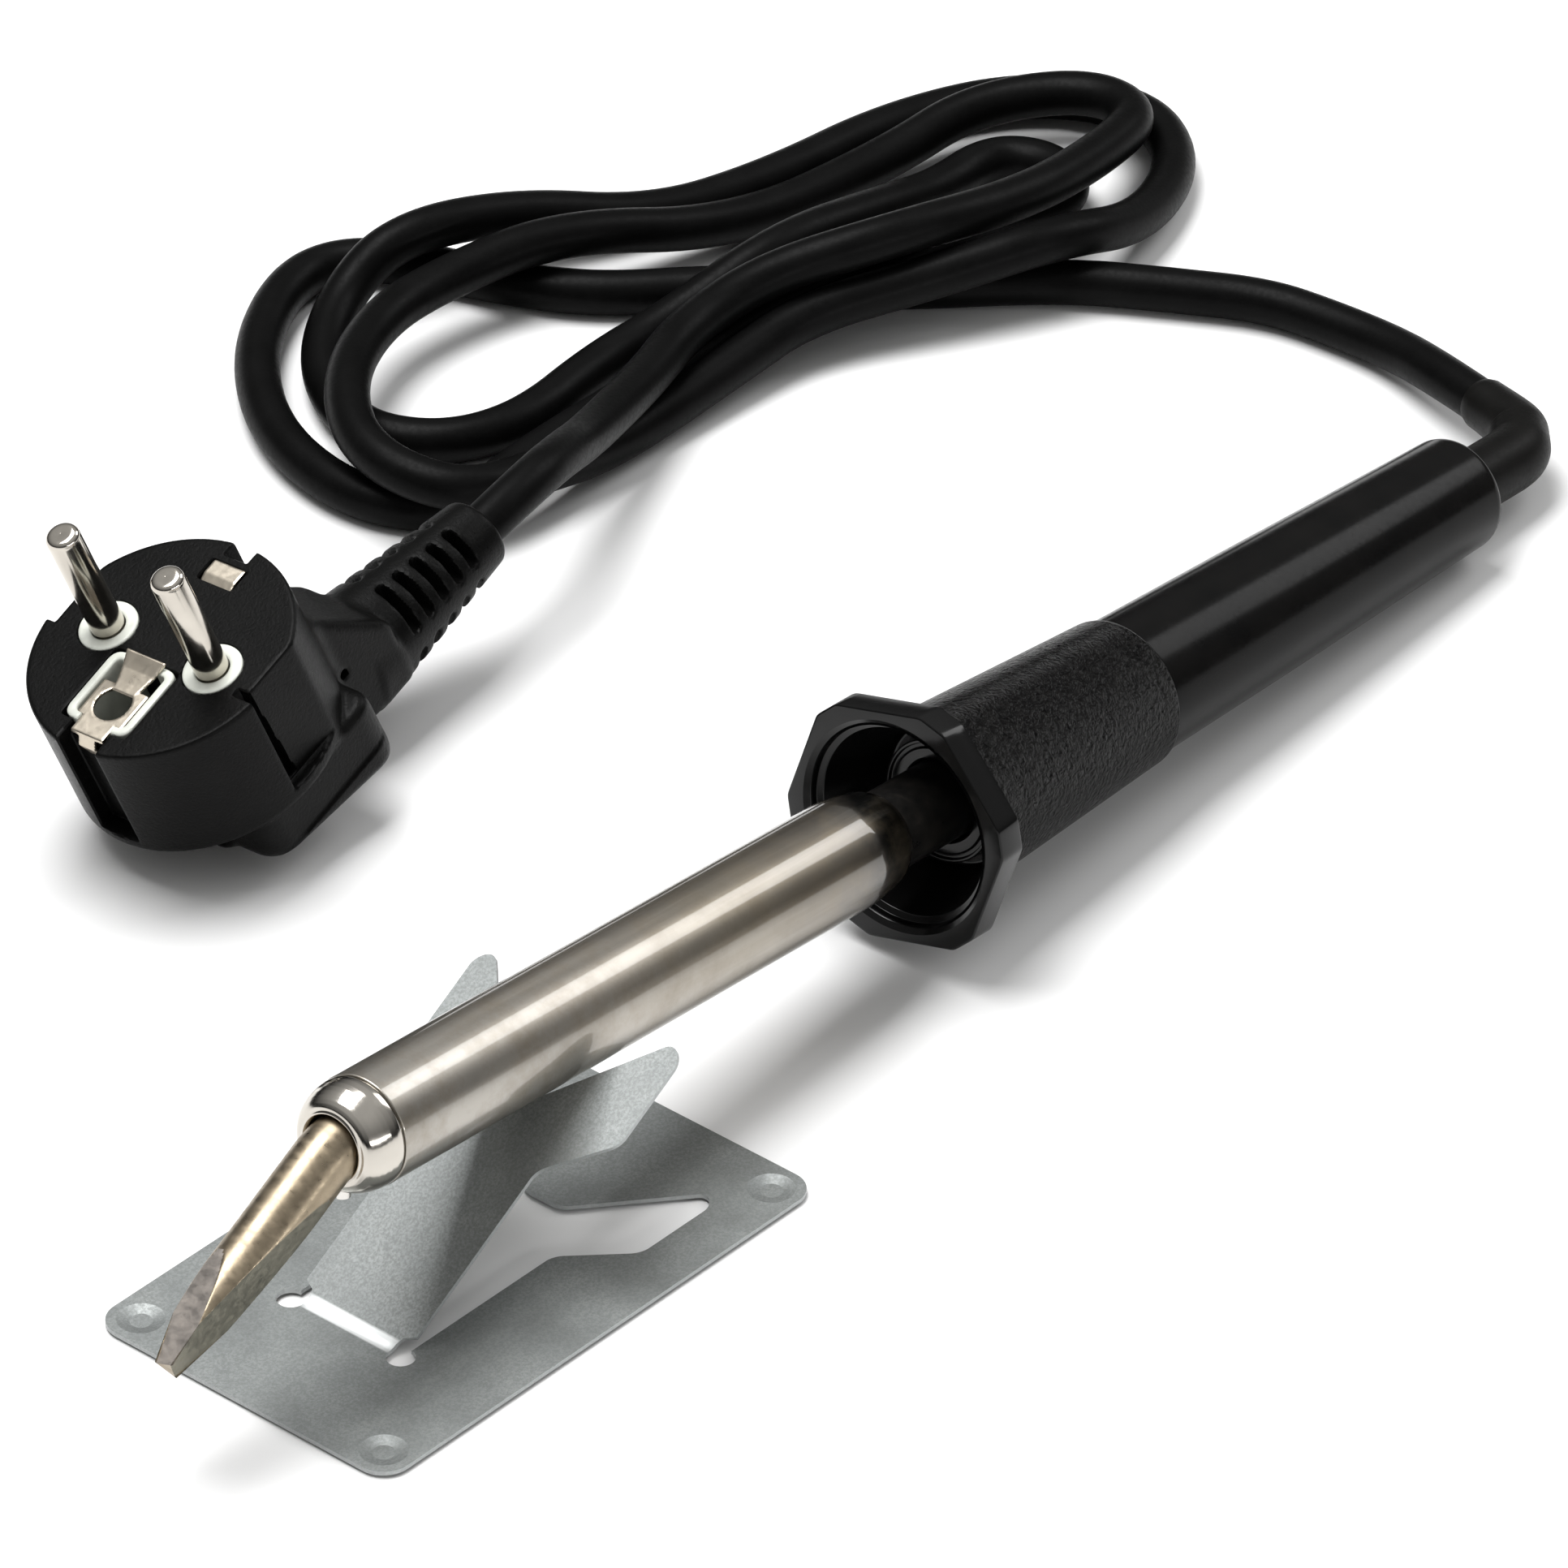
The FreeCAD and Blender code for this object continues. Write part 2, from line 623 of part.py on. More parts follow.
def neck_mount():
    """Washer welded to the neck behind the grip's wall, and its two screws."""
    washer = new_body("neck_washer", handle_place)
    plate = new_sketch(washer, "YZ_Plane", "washer_outline", FreeCAD.Placement(
        V(0, 0, size("grip_cavity_from")), FreeCAD.Rotation()))
    circle(plate, "0 * Sizes.mount_rad", "0 * Sizes.mount_rad", "Sizes.mount_rad")
    circle(plate, "0 * Sizes.mount_rad", "0 * Sizes.mount_rad", "Sizes.neck_rad + 0.2")
    for sy in ("", "-"):
        circle(plate, "0 * Sizes.mount_screw", sy + "Sizes.mount_screw", "Sizes.mount_screw_rad")
    extrude(washer, "Pad", plate, "Sizes.mount_thick", "washer")
    screws = new_body("neck_screws", handle_place)
    wall = size("grip_cavity_from")
    shanks = new_sketch(screws, "YZ_Plane", "screw_shanks", FreeCAD.Placement(
        V(0, 0, wall - 4.5), FreeCAD.Rotation()))
    heads = new_sketch(screws, "YZ_Plane", "screw_heads", FreeCAD.Placement(
        V(0, 0, wall + size("mount_thick")), FreeCAD.Rotation()))
    for sy in ("", "-"):
        circle(shanks, "0 * Sizes.mount_screw", sy + "Sizes.mount_screw", "Sizes.mount_screw_rad")
        circle(heads, "0 * Sizes.mount_screw", sy + "Sizes.mount_screw",
               "Sizes.mount_screw_rad + 0.4")
    extrude(screws, "Pad", shanks, "Sizes.mount_thick + 4.5", "shanks")
    extrude(screws, "Pad", heads, "0.7 * Sizes.mount_thick", "heads")
    return [washer, screws]


# ---------------------------------------------------------------- connection in the handle
POLES = (-1, 0, 1)


def terminals():
    """Three-pole block, its brass sleeves and six screws."""
    front = size("block_from")
    rear = front + size("block_len")
    pitch = size("pole_pitch")
    high = size("block_high") / 2
    wide = size("block_wide") / 2
    block = Part.makeBox(rear - front, 2 * wide, 2 * high, V(front, -wide, -high))
    sleeves = []
    screws = []
    for pole in POLES:
        y = pole * pitch
        bore = Part.makeCylinder(1.6, rear - front, V(front, y, 0), V(1, 0, 0))
        hollow = Part.makeCylinder(1.1, rear - front, V(front, y, 0), V(1, 0, 0))
        block = block.cut(bore)
        sleeve = bore.cut(hollow)
        for along, seat in ((front + 4, 0.95), (rear - 4, 1.06)):
            screw = Part.makeCylinder(0.9, high - seat, V(along, y, seat))
            slot = Part.makeBox(2.0, 0.4, 0.6, V(along - 1, y - 0.2, high - 0.5))
            block = block.cut(Part.makeCylinder(0.9, high, V(along, y, 0)))
            sleeve = sleeve.cut(Part.makeCylinder(0.9, high, V(along, y, 0)))
            screws.append(screw.cut(slot))
        sleeves.append(sleeve)
    return [feature_part("terminal_block", block, handle_place),
            feature_part("terminal_sleeves", Part.makeCompound(sleeves), handle_place),
            feature_part("terminal_screws", Part.makeCompound(screws), handle_place)]


def wires():
    """Heater leads and earth link in front of the block, three cores of the lead behind it."""
    front = size("block_from")
    rear = front + size("block_len")
    pitch = size("pole_pitch")
    ring = (size("former_rad") + size("winding_rad")) / 2
    made = []
    pair = []
    for side in (-1, 1):
        points = [V(size("winding_to"), side * ring, 0), V(75, side * ring, 0),
                  V(size("bush_from") - 1, side * pitch, 0), V(front + 6, side * pitch, 0)]
        pair.append(tube(points, 0.3)[0])
    made.append(feature_part("heater_leads", Part.makeCompound(pair), barrel_place))
    inner = size("neck_rad") - size("neck_wall")
    link = tube([V(front + 6, 0, 0), V(front - 3, 0, 0), V(front - 7, 0, inner - 0.62),
                 V(front - 14, 0, inner - 0.62)], 0.6)[0]
    made.append(feature_part("earth_link", link, barrel_place))
    ends = ((-1.3, -0.8), (0.0, 1.5), (1.3, -0.8))
    for pole, name, (y, z) in zip(POLES, ("live_core", "earth_core", "neutral_core"), ends):
        points = [V(rear - 6, pole * pitch, 0), V(rear + 9, pole * pitch, 0),
                  V(size("tail_from") - 16, y, z), V(size("tail_from"), y, z)]
        made.append(feature_part(name, tube(points, size("wire_rad"))[0], handle_place))
    return made


# Sleeve and lead end behind the handle, in plate numbers: they turn left on to the bench.
SLEEVE_TURN = [V(234.0, 13.4, 7.2), V(236.4, 22.0, 6.6)]


def to_world(points):
    return [V(size("stand_shift") + p.x, p.y, p.z) for p in points]


def lead_end():
    """The lead from its stop inside the handle to the sleeve's end, and the sleeve itself."""
    corner = handle_place.multVec(V(size("rear_end") + 17.0, 0, 0))
    inside = handle_place.multVec(V(size("tail_from"), 0, 0))
    sleeve_start = handle_place.multVec(V(size("rear_end") - 8, 0, 0))
    path = [sleeve_start, corner] + to_world(SLEEVE_TURN)
    outer = tube(path, size("sleeve_rad"))[0]
    core = tube(path, size("lead_rad"))[0]
    straight = Part.makeCylinder(size("lead_rad"), (sleeve_start - inside).Length, inside,
                                 sleeve_start - inside)
    lead = core.fuse(straight).removeSplitter()
    stop = turned("lead_stop", [
        ("Sizes.stop_at", "Sizes.lead_rad"),
        ("Sizes.stop_at + Sizes.stop_len", "Sizes.lead_rad"),
        ("Sizes.stop_at + Sizes.stop_len", "Sizes.stop_rad - 0.8"),
        ("Sizes.stop_at + Sizes.stop_len - 1", "Sizes.stop_rad"),
        ("Sizes.stop_at + 1", "Sizes.stop_rad"),
        ("Sizes.stop_at", "Sizes.stop_rad - 0.8")], handle_place)
    return [feature_part("lead_tail", lead), feature_part("lead_sleeve", outer.cut(core)), stop]


# ---------------------------------------------------------------- plug
def clip_outline():
    """Side profile of the earth strip: socket plate, two side legs and the bar inside."""
    out = "Sizes.skirt_rad"
    return [(out + " * 0 + 12", "-1 + 0 * " + out), (out + " - 2.1", "-1 + 0 * " + out),
            (out + " - 2.1", "-Sizes.earth_deep - 0.5"), ("2.1 - " + out, "-Sizes.earth_deep - 0.5"),
            ("2.1 - " + out, "0.2 + 0 * " + out), ("-4.6 + 0 * " + out, "0.2 + 0 * " + out),
            ("-2.6 + 0 * " + out, "2.4 + 0 * " + out), ("-3.0 + 0 * " + out, "2.8 + 0 * " + out),
            ("-4.8 + 0 * " + out, "0.7 + 0 * " + out), ("1.6 - " + out, "0.7 + 0 * " + out),
            ("1.6 - " + out, "-Sizes.earth_deep - 1"), (out + " - 1.6", "-Sizes.earth_deep - 1"),
            (out + " - 1.6", "-0.5 + 0 * " + out), (out + " * 0 + 12", "-0.5 + 0 * " + out)]


def plug_body():
    """Moulded body: round skirt, gripping slab, ridge, neck and tapering boot."""
    body = new_body("plug_body", plug_place)
    skirt = new_sketch(body, "XY_Plane", "skirt_outline")
    circle(skirt, "0 * Sizes.skirt_rad", "0 * Sizes.skirt_rad", "Sizes.skirt_rad")
    extrude(body, "Pad", skirt, "Sizes.skirt_deep", "skirt", backwards=True)

    slab = new_sketch(body, "XY_Plane", "slab_outline", FreeCAD.Placement(
        V(0, 0, -size("skirt_deep") + 0.5), FreeCAD.Rotation()))
    wing = [("Sizes.back_from - 1", "Sizes.slab_half - 9"),
            ("Sizes.back_from + 3.5", "Sizes.slab_half"),
            ("Sizes.back_to - 4", "Sizes.slab_half"),
            ("Sizes.back_to + 1", "Sizes.slab_half - 8")]
    polygon(slab, wing + [(x, "-(%s)" % y) for x, y in reversed(wing)])
    extrude(body, "Pad", slab, "Sizes.back_deep - Sizes.skirt_deep - 4.6", "slab", backwards=True)
    ridge = new_sketch(body, "XZ_Plane", "ridge_profile")
    polygon(ridge, [("Sizes.back_from + 2", "-Sizes.back_deep + 6"),
                    ("Sizes.neck_end", "-Sizes.boot_deep + Sizes.neck_half - 0.5"),
                    ("Sizes.neck_end", "-Sizes.boot_deep - Sizes.neck_half + 3"),
                    ("Sizes.back_to", "-Sizes.back_deep - 1"),
                    ("Sizes.back_from + 12", "-Sizes.back_deep"),
                    ("Sizes.back_from + 2", "-Sizes.back_deep + 3.5")])
    extrude(body, "Pad", ridge, "2 * Sizes.neck_half", "ridge", midplane=True)
    shoulder = new_sketch(body, "XZ_Plane", "shoulder_profile")
    polygon(shoulder, [("Sizes.skirt_rad - 8", "-6 + 0 * Sizes.skirt_rad"),
                       ("Sizes.skirt_rad - 1", "-11 + 0 * Sizes.skirt_rad"),
                       ("Sizes.neck_end", "-Sizes.boot_deep + Sizes.neck_half - 0.5"),
                       ("Sizes.neck_end", "-Sizes.boot_deep"),
                       ("Sizes.skirt_rad - 8", "-Sizes.boot_deep")])
    extrude(body, "Pad", shoulder, "2 * Sizes.neck_half", "shoulder", midplane=True)

    boot = new_sketch(body, "XZ_Plane", "boot_profile", FreeCAD.Placement(
        V(size("boot_from"), -size("boot_deep"), 0),
        FreeCAD.Rotation(V(0, 0, 1), -size("boot_tilt"))))
    polygon(boot, [("-4 + 0 * Sizes.boot_len", "0 * Sizes.boot_len"),
                   ("Sizes.boot_len", "0 * Sizes.boot_len"),
                   ("Sizes.boot_len", "Sizes.boot_back_rad - 0.6"),
                   ("Sizes.boot_len - 1", "Sizes.boot_back_rad"),
                   ("0 * Sizes.boot_len", "Sizes.boot_front_rad"),
                   ("-4 + 0 * Sizes.boot_len", "Sizes.boot_front_rad")])
    turned_boot = body.newObject("PartDesign::Revolution", "boot")
    turned_boot.Profile = boot
    turned_boot.ReferenceAxis = (boot, ["H_Axis"])
    turned_boot.Angle = 360
    doc.recompute()

    pockets = new_sketch(body, "XY_Plane", "insert_pockets")
    insert_outline(pockets)
    extrude(body, "Pocket", pockets, "Sizes.pin_inside", "insert_wells")
    bridge = new_sketch(body, "XY_Plane", "bridge_pocket", FreeCAD.Placement(
        V(0, 0, -size("pin_inside")), FreeCAD.Rotation()))
    bridge_outline(bridge)
    extrude(body, "Pocket", bridge, "Sizes.earth_deep - Sizes.pin_inside", "bridge_well")
    pin_ends = new_sketch(body, "XY_Plane", "pin_ends_pocket", FreeCAD.Placement(
        V(0, 0, -size("earth_deep")), FreeCAD.Rotation()))
    for sy in ("", "-"):
        circle(pin_ends, "0 * Sizes.pin_pitch", sy + "Sizes.pin_pitch / 2", "Sizes.pin_root")
    extrude(body, "Pocket", pin_ends, "2 * Sizes.pin_root / 2.2", "pin_end_wells")
    strip = new_sketch(body, "XZ_Plane", "strip_pocket")
    polygon(strip, clip_outline())
    extrude(body, "Pocket", strip, "Sizes.insert_half", "strip_well", midplane=True)
    notches = new_sketch(body, "XY_Plane", "side_notches")
    for sx in ("", "-"):
        polygon(notches, [(sx + "(Sizes.skirt_rad - 1.6)", "-Sizes.insert_half / 2 - 0.6"),
                          (sx + "(Sizes.skirt_rad + 1)", "-Sizes.insert_half / 2 - 0.6"),
                          (sx + "(Sizes.skirt_rad + 1)", "Sizes.insert_half / 2 + 0.6"),
                          (sx + "(Sizes.skirt_rad - 1.6)", "Sizes.insert_half / 2 + 0.6")])
    extrude(body, "Pocket", notches, "Sizes.earth_deep - 5", "notches")
    keys = new_sketch(body, "XY_Plane", "key_grooves")
    for sy in ("", "-"):
        polygon(keys, [("0 * Sizes.skirt_rad - 2.5", sy + "Sizes.key_half"),
                       ("0 * Sizes.skirt_rad + 12", sy + "Sizes.key_half"),
                       ("0 * Sizes.skirt_rad + 12", sy + "(Sizes.skirt_rad + 1)"),
                       ("0 * Sizes.skirt_rad - 2.5", sy + "(Sizes.skirt_rad + 1)")])
    extrude(body, "Pocket", keys, "Sizes.skirt_deep - 2", "keys")
    return body


def insert_outline(sketch):
    for sy in ("", "-"):
        circle(sketch, "0 * Sizes.pin_pitch", sy + "Sizes.pin_pitch / 2", "Sizes.collar_ring")
    polygon(sketch, [("Sizes.insert_from", "-Sizes.insert_half"),
                     ("Sizes.insert_to", "-Sizes.insert_half + 1.5"),
                     ("Sizes.insert_to", "Sizes.insert_half - 1.5"),
                     ("Sizes.insert_from", "Sizes.insert_half")])


def bridge_outline(sketch):
    half = [("Sizes.insert_from", "Sizes.pin_pitch / 2 - 2"),
            ("-Sizes.collar_ring", "Sizes.pin_pitch / 2 + 4.5"),
            ("Sizes.collar_ring", "Sizes.pin_pitch / 2 + 4.5")]
    polygon(sketch, half + [(x, "-(%s)" % y) for x, y in reversed(half)])


def plug_insert():
    """Pale carrier that holds both pins and frames the earth socket."""
    body = new_body("plug_insert", plug_place)
    posts = new_sketch(body, "XY_Plane", "insert_outline", FreeCAD.Placement(
        V(0, 0, -size("pin_inside")), FreeCAD.Rotation()))
    insert_outline(posts)
    bridge = new_sketch(body, "XY_Plane", "bridge_outline", FreeCAD.Placement(
        V(0, 0, -size("pin_inside")), FreeCAD.Rotation()))
    bridge_outline(bridge)
    extrude(body, "Pad", bridge, "Sizes.earth_deep - Sizes.pin_inside", "bridge", backwards=True)
    extrude(body, "Pad", posts, "Sizes.pin_inside + 0.2", "posts")
    holes = new_sketch(body, "XY_Plane", "pin_holes")
    for sy in ("", "-"):
        circle(holes, "0 * Sizes.pin_pitch", sy + "Sizes.pin_pitch / 2", "Sizes.pin_root")
    cut_through(body, holes, "pin_bores")
    socket = new_sketch(body, "XY_Plane", "socket_hole")
    circle(socket, "-Sizes.earth_hole + 1.6", "0 * Sizes.earth_hole", "Sizes.earth_hole_rad + 0.5")
    cut_through(body, socket, "socket_bore")
    return body


def plug_pins():
    """Two round pins with domed ends."""
    body = new_body("plug_pins", plug_place)
    pins = new_sketch(body, "XY_Plane", "pin_outline", FreeCAD.Placement(
        V(0, 0, -size("earth_deep")), FreeCAD.Rotation()))
    shafts = new_sketch(body, "XY_Plane", "shaft_outline", FreeCAD.Placement(
        V(0, 0, size("pin_step")), FreeCAD.Rotation()))
    for sy in ("", "-"):
        circle(pins, "0 * Sizes.pin_pitch", sy + "Sizes.pin_pitch / 2", "Sizes.pin_root")
        circle(shafts, "0 * Sizes.pin_pitch", sy + "Sizes.pin_pitch / 2", "Sizes.pin_rad")
    extrude(body, "Pad", pins, "Sizes.earth_deep + Sizes.pin_step + 1", "pin_roots")
    extrude(body, "Pad", shafts, "Sizes.pin_len - Sizes.pin_step", "pin_shafts")
    top = size("pin_len")
    round_edges(body, "Sizes.pin_rad * 0.8",
                lambda e: all(abs(v.Point.z - top) < 0.01 for v in e.Vertexes), "domes")
    return body


def earth_contact():
    """Bent strip with the socket for the wall's earth pin and a leg down each side."""
    body = new_body("earth_contact", plug_place)
    strip = new_sketch(body, "XZ_Plane", "strip_profile")
    polygon(strip, clip_outline())
    extrude(body, "Pad", strip, "Sizes.insert_half", "strip", midplane=True)
    hole = new_sketch(body, "XY_Plane", "contact_hole", FreeCAD.Placement(
        V(0, 0, 2), FreeCAD.Rotation()))
    circle(hole, "-Sizes.earth_hole + 1.6", "0 * Sizes.earth_hole", "Sizes.earth_hole_rad")
    extrude(body, "Pocket", hole, "4 * Sizes.pin_rad / 2.4", "contact_bore")
    return body


# Route of the lead in plate numbers, from the plug's boot to the sleeve behind the handle.
LEAD_ROUTE = [
    (125.5, 95.5, 20.5), (136.5, 100.5, 16), (158.5, 109, 11.5), (172.5, 114.5, 10.5), (188.5, 113.5, 12.5),
    (203, 102, 17), (226, 97.5, 14), (247, 100.5, 10.5), (261.5, 104.5, 9), (262, 116, 8.5),
    (249.5, 127, 7), (233, 129, 4.5), (205.5, 134, 3.5), (180, 144.5, 11), (162, 149.5, 10),
    (147, 149.5, 10), (129.5, 140.5, 11.5), (118.5, 126.5, 11), (121, 111, 9.5), (134.5, 108.5, 7.5),
    (151, 109, 3.5), (177, 108.5, 5.5), (190.5, 107.5, 7.5), (207.5, 98, 9.5), (224, 88.5, 12.5),
    (242.5, 89, 5.5), (261.5, 97, 3.5), (270, 111, 3.5), (261.5, 127.5, 3.5), (242, 136.5, 3.5),
    (218.5, 139, 3.5), (200, 145, 3.5), (181.5, 155, 9.5), (163.5, 161, 11.5), (153, 162.5, 5.5),
    (139.5, 154.5, 3.5), (130.5, 139.5, 3.5), (135.5, 127.5, 3.5), (147.5, 122.5, 3.5), (166, 125, 3.5),
    (179.5, 123.5, 4.5), (197, 118, 12), (220.5, 118, 7), (232.5, 119, 3.5), (245, 119.5, 3.5),
    (249.5, 111.5, 3.5), (245, 103.5, 3.5), (232.5, 103.5, 5), (212, 104, 12.5), (190.5, 115, 5),
    (165, 115.5, 3.5), (144, 116, 3.5), (124.5, 114, 3.5), (117.5, 127, 3.5), (121.5, 146, 3.5),
    (134, 162, 3.5), (149.5, 171.5, 3.5), (160.5, 172.5, 3.5), (168, 164.5, 3.5), (173, 149.5, 3.5),
    (179.5, 137, 3.5), (193, 125, 3.5), (209, 106, 3.5), (226, 90, 3.5), (234.5, 76, 3.5),
    (241, 64.5, 3.5), (242.5, 54, 3.5), (242.5, 42, 4),
]


def power_lead():
    boot_turn = plug_place.Rotation.multiply(FreeCAD.Rotation(V(0, 1, 0), size("boot_tilt")))
    boot_root = plug_place.multVec(V(size("boot_from"), 0, -size("boot_deep")))
    boot_end = boot_root + boot_turn.multVec(V(size("boot_len"), 0, 0))
    second = boot_root + boot_turn.multVec(V(size("boot_len") + 11, 0, 0))
    before, mouth = to_world(SLEEVE_TURN)
    leaving = (mouth - before).normalize() * 9
    route = [boot_end, second] + to_world([V(*p) for p in LEAD_ROUTE]) + [mouth + leaving, mouth]
    solid, length, radii = tube(route, size("lead_rad"))
    ideal = math.pi * size("lead_rad") ** 2 * length
    print("lead length", round(length, 1), "volume ratio", round(solid.Volume / ideal, 4))
    print("tightest bends", [round(r, 1) for r in sorted(radii)[:8]])
    print("boot end", boot_end, "second", second)
    return feature_part("power_lead", solid)


# ---------------------------------------------------------------- build, check and write
# Parts that are made of several equal pieces; every other part is one solid.
PIECES = {"heater_leads": 2, "neck_screws": 2, "plug_pins": 2, "terminal_sleeves": 3, "terminal_screws": 6}
parts = [stand_sheet(), barrel_tube(), neck_tube(), tip_collar(), tip_screw(), soldering_tip()]
parts += heater()
parts += [front_grip(), rear_handle()]
parts += neck_mount()
parts += terminals()
parts += wires()
parts += lead_end()
parts += [plug_body(), plug_insert(), plug_pins(), earth_contact(), power_lead()]
doc.recompute()

for item in doc.Objects:
    if {"Invalid", "Error"} & set(item.State):
        raise SystemExit("object in error: " + item.Label)
for part in parts:
    shape = part.Shape
    if shape.isNull() or not shape.isValid():
        raise SystemExit("bad shape: " + part.Label)
    if len(shape.Solids) != PIECES.get(part.Label, 1):
        raise SystemExit("wrong number of solids: " + part.Label)
    box = shape.BoundBox
    print("%-18s %9.1f mm3  x %.1f..%.1f  y %.1f..%.1f  z %.2f..%.2f" % (
        part.Label, shape.Volume, box.XMin, box.XMax, box.YMin, box.YMax, box.ZMin, box.ZMax))
    shape.exportStep("parts/%s.step" % part.Label)
print(len(parts), "parts written")
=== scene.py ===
import json
import math

import bmesh
import bpy
import numpy as np
from mathutils import Matrix, Vector

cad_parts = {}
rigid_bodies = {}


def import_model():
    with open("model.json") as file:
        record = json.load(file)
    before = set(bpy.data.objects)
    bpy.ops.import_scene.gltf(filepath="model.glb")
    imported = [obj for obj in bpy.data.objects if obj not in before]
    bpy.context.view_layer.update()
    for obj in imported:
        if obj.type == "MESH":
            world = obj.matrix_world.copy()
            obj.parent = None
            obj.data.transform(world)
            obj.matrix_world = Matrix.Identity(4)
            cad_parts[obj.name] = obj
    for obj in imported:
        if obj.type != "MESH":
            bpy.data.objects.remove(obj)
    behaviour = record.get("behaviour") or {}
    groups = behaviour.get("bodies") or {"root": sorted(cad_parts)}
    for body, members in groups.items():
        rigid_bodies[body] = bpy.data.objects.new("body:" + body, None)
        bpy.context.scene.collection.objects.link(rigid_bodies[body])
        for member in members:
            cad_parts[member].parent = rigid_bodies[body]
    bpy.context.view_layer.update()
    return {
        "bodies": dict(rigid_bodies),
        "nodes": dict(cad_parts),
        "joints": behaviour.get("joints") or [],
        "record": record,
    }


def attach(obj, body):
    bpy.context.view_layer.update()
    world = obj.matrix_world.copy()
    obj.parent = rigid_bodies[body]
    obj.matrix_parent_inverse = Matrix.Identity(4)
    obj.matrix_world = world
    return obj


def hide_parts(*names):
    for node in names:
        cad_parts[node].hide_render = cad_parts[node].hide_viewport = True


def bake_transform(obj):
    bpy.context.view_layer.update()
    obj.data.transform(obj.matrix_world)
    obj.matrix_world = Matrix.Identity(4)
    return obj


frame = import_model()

# A soldering iron lying on its folded sheet stand, with its lead and plug. Lengths are in
# millimetres; MM and the placements turn them into the scene's metres.
NODES = frame["nodes"]
MM = 0.001

# ------------------------------------------------------------------ places of the three groups
STAND_X = -90.75


def turned(yaw, pitch, roll):
    """Rotation by yaw about Z, then pitch about Y, then roll about X, in degrees."""
    return (Matrix.Rotation(math.radians(yaw), 4, "Z")
            @ Matrix.Rotation(math.radians(pitch), 4, "Y")
            @ Matrix.Rotation(math.radians(roll), 4, "X"))


def placed(origin, turn):
    """Maps millimetres in a group's own axes to metres in the scene."""
    return Matrix.Translation(Vector(origin) * MM) @ turn @ Matrix.Scale(MM, 4)


# The barrel rests in the notch; the grip and handle droop a little from the pivot inside the grip.
IRON_YAW, BARREL_PITCH, HANDLE_PITCH = 2.5, 6.25, 5.15
NOTCH = Vector((STAND_X + 24.0, 0, 27.2))
NOTCH_ALONG, PIVOT_ALONG, HANDLE_END = 44.8, 124.0, 235.9
IRON_TURN = turned(IRON_YAW, BARREL_PITCH, 0)
IRON_BASE = NOTCH - IRON_TURN @ Vector((NOTCH_ALONG, 0, 0))
IRON = placed(IRON_BASE, IRON_TURN)
GRIP_TURN = turned(IRON_YAW, HANDLE_PITCH, 0)
GRIP_PIVOT = Vector((PIVOT_ALONG, 0, 0))
GRIP_BASE = IRON_BASE + IRON_TURN @ GRIP_PIVOT - GRIP_TURN @ GRIP_PIVOT
GRIP = placed(GRIP_BASE, GRIP_TURN)
PLUG_TURN = turned(2.0, -21.7, -4.5)
PLUG = placed((STAND_X + 43.0, 92.7, 31.7), PLUG_TURN)
WORLD = Matrix.Scale(MM, 4)
IRON_AXIS = (IRON_TURN @ Vector((1, 0, 0))).normalized()
GRIP_AXIS = (GRIP_TURN @ Vector((1, 0, 0))).normalized()


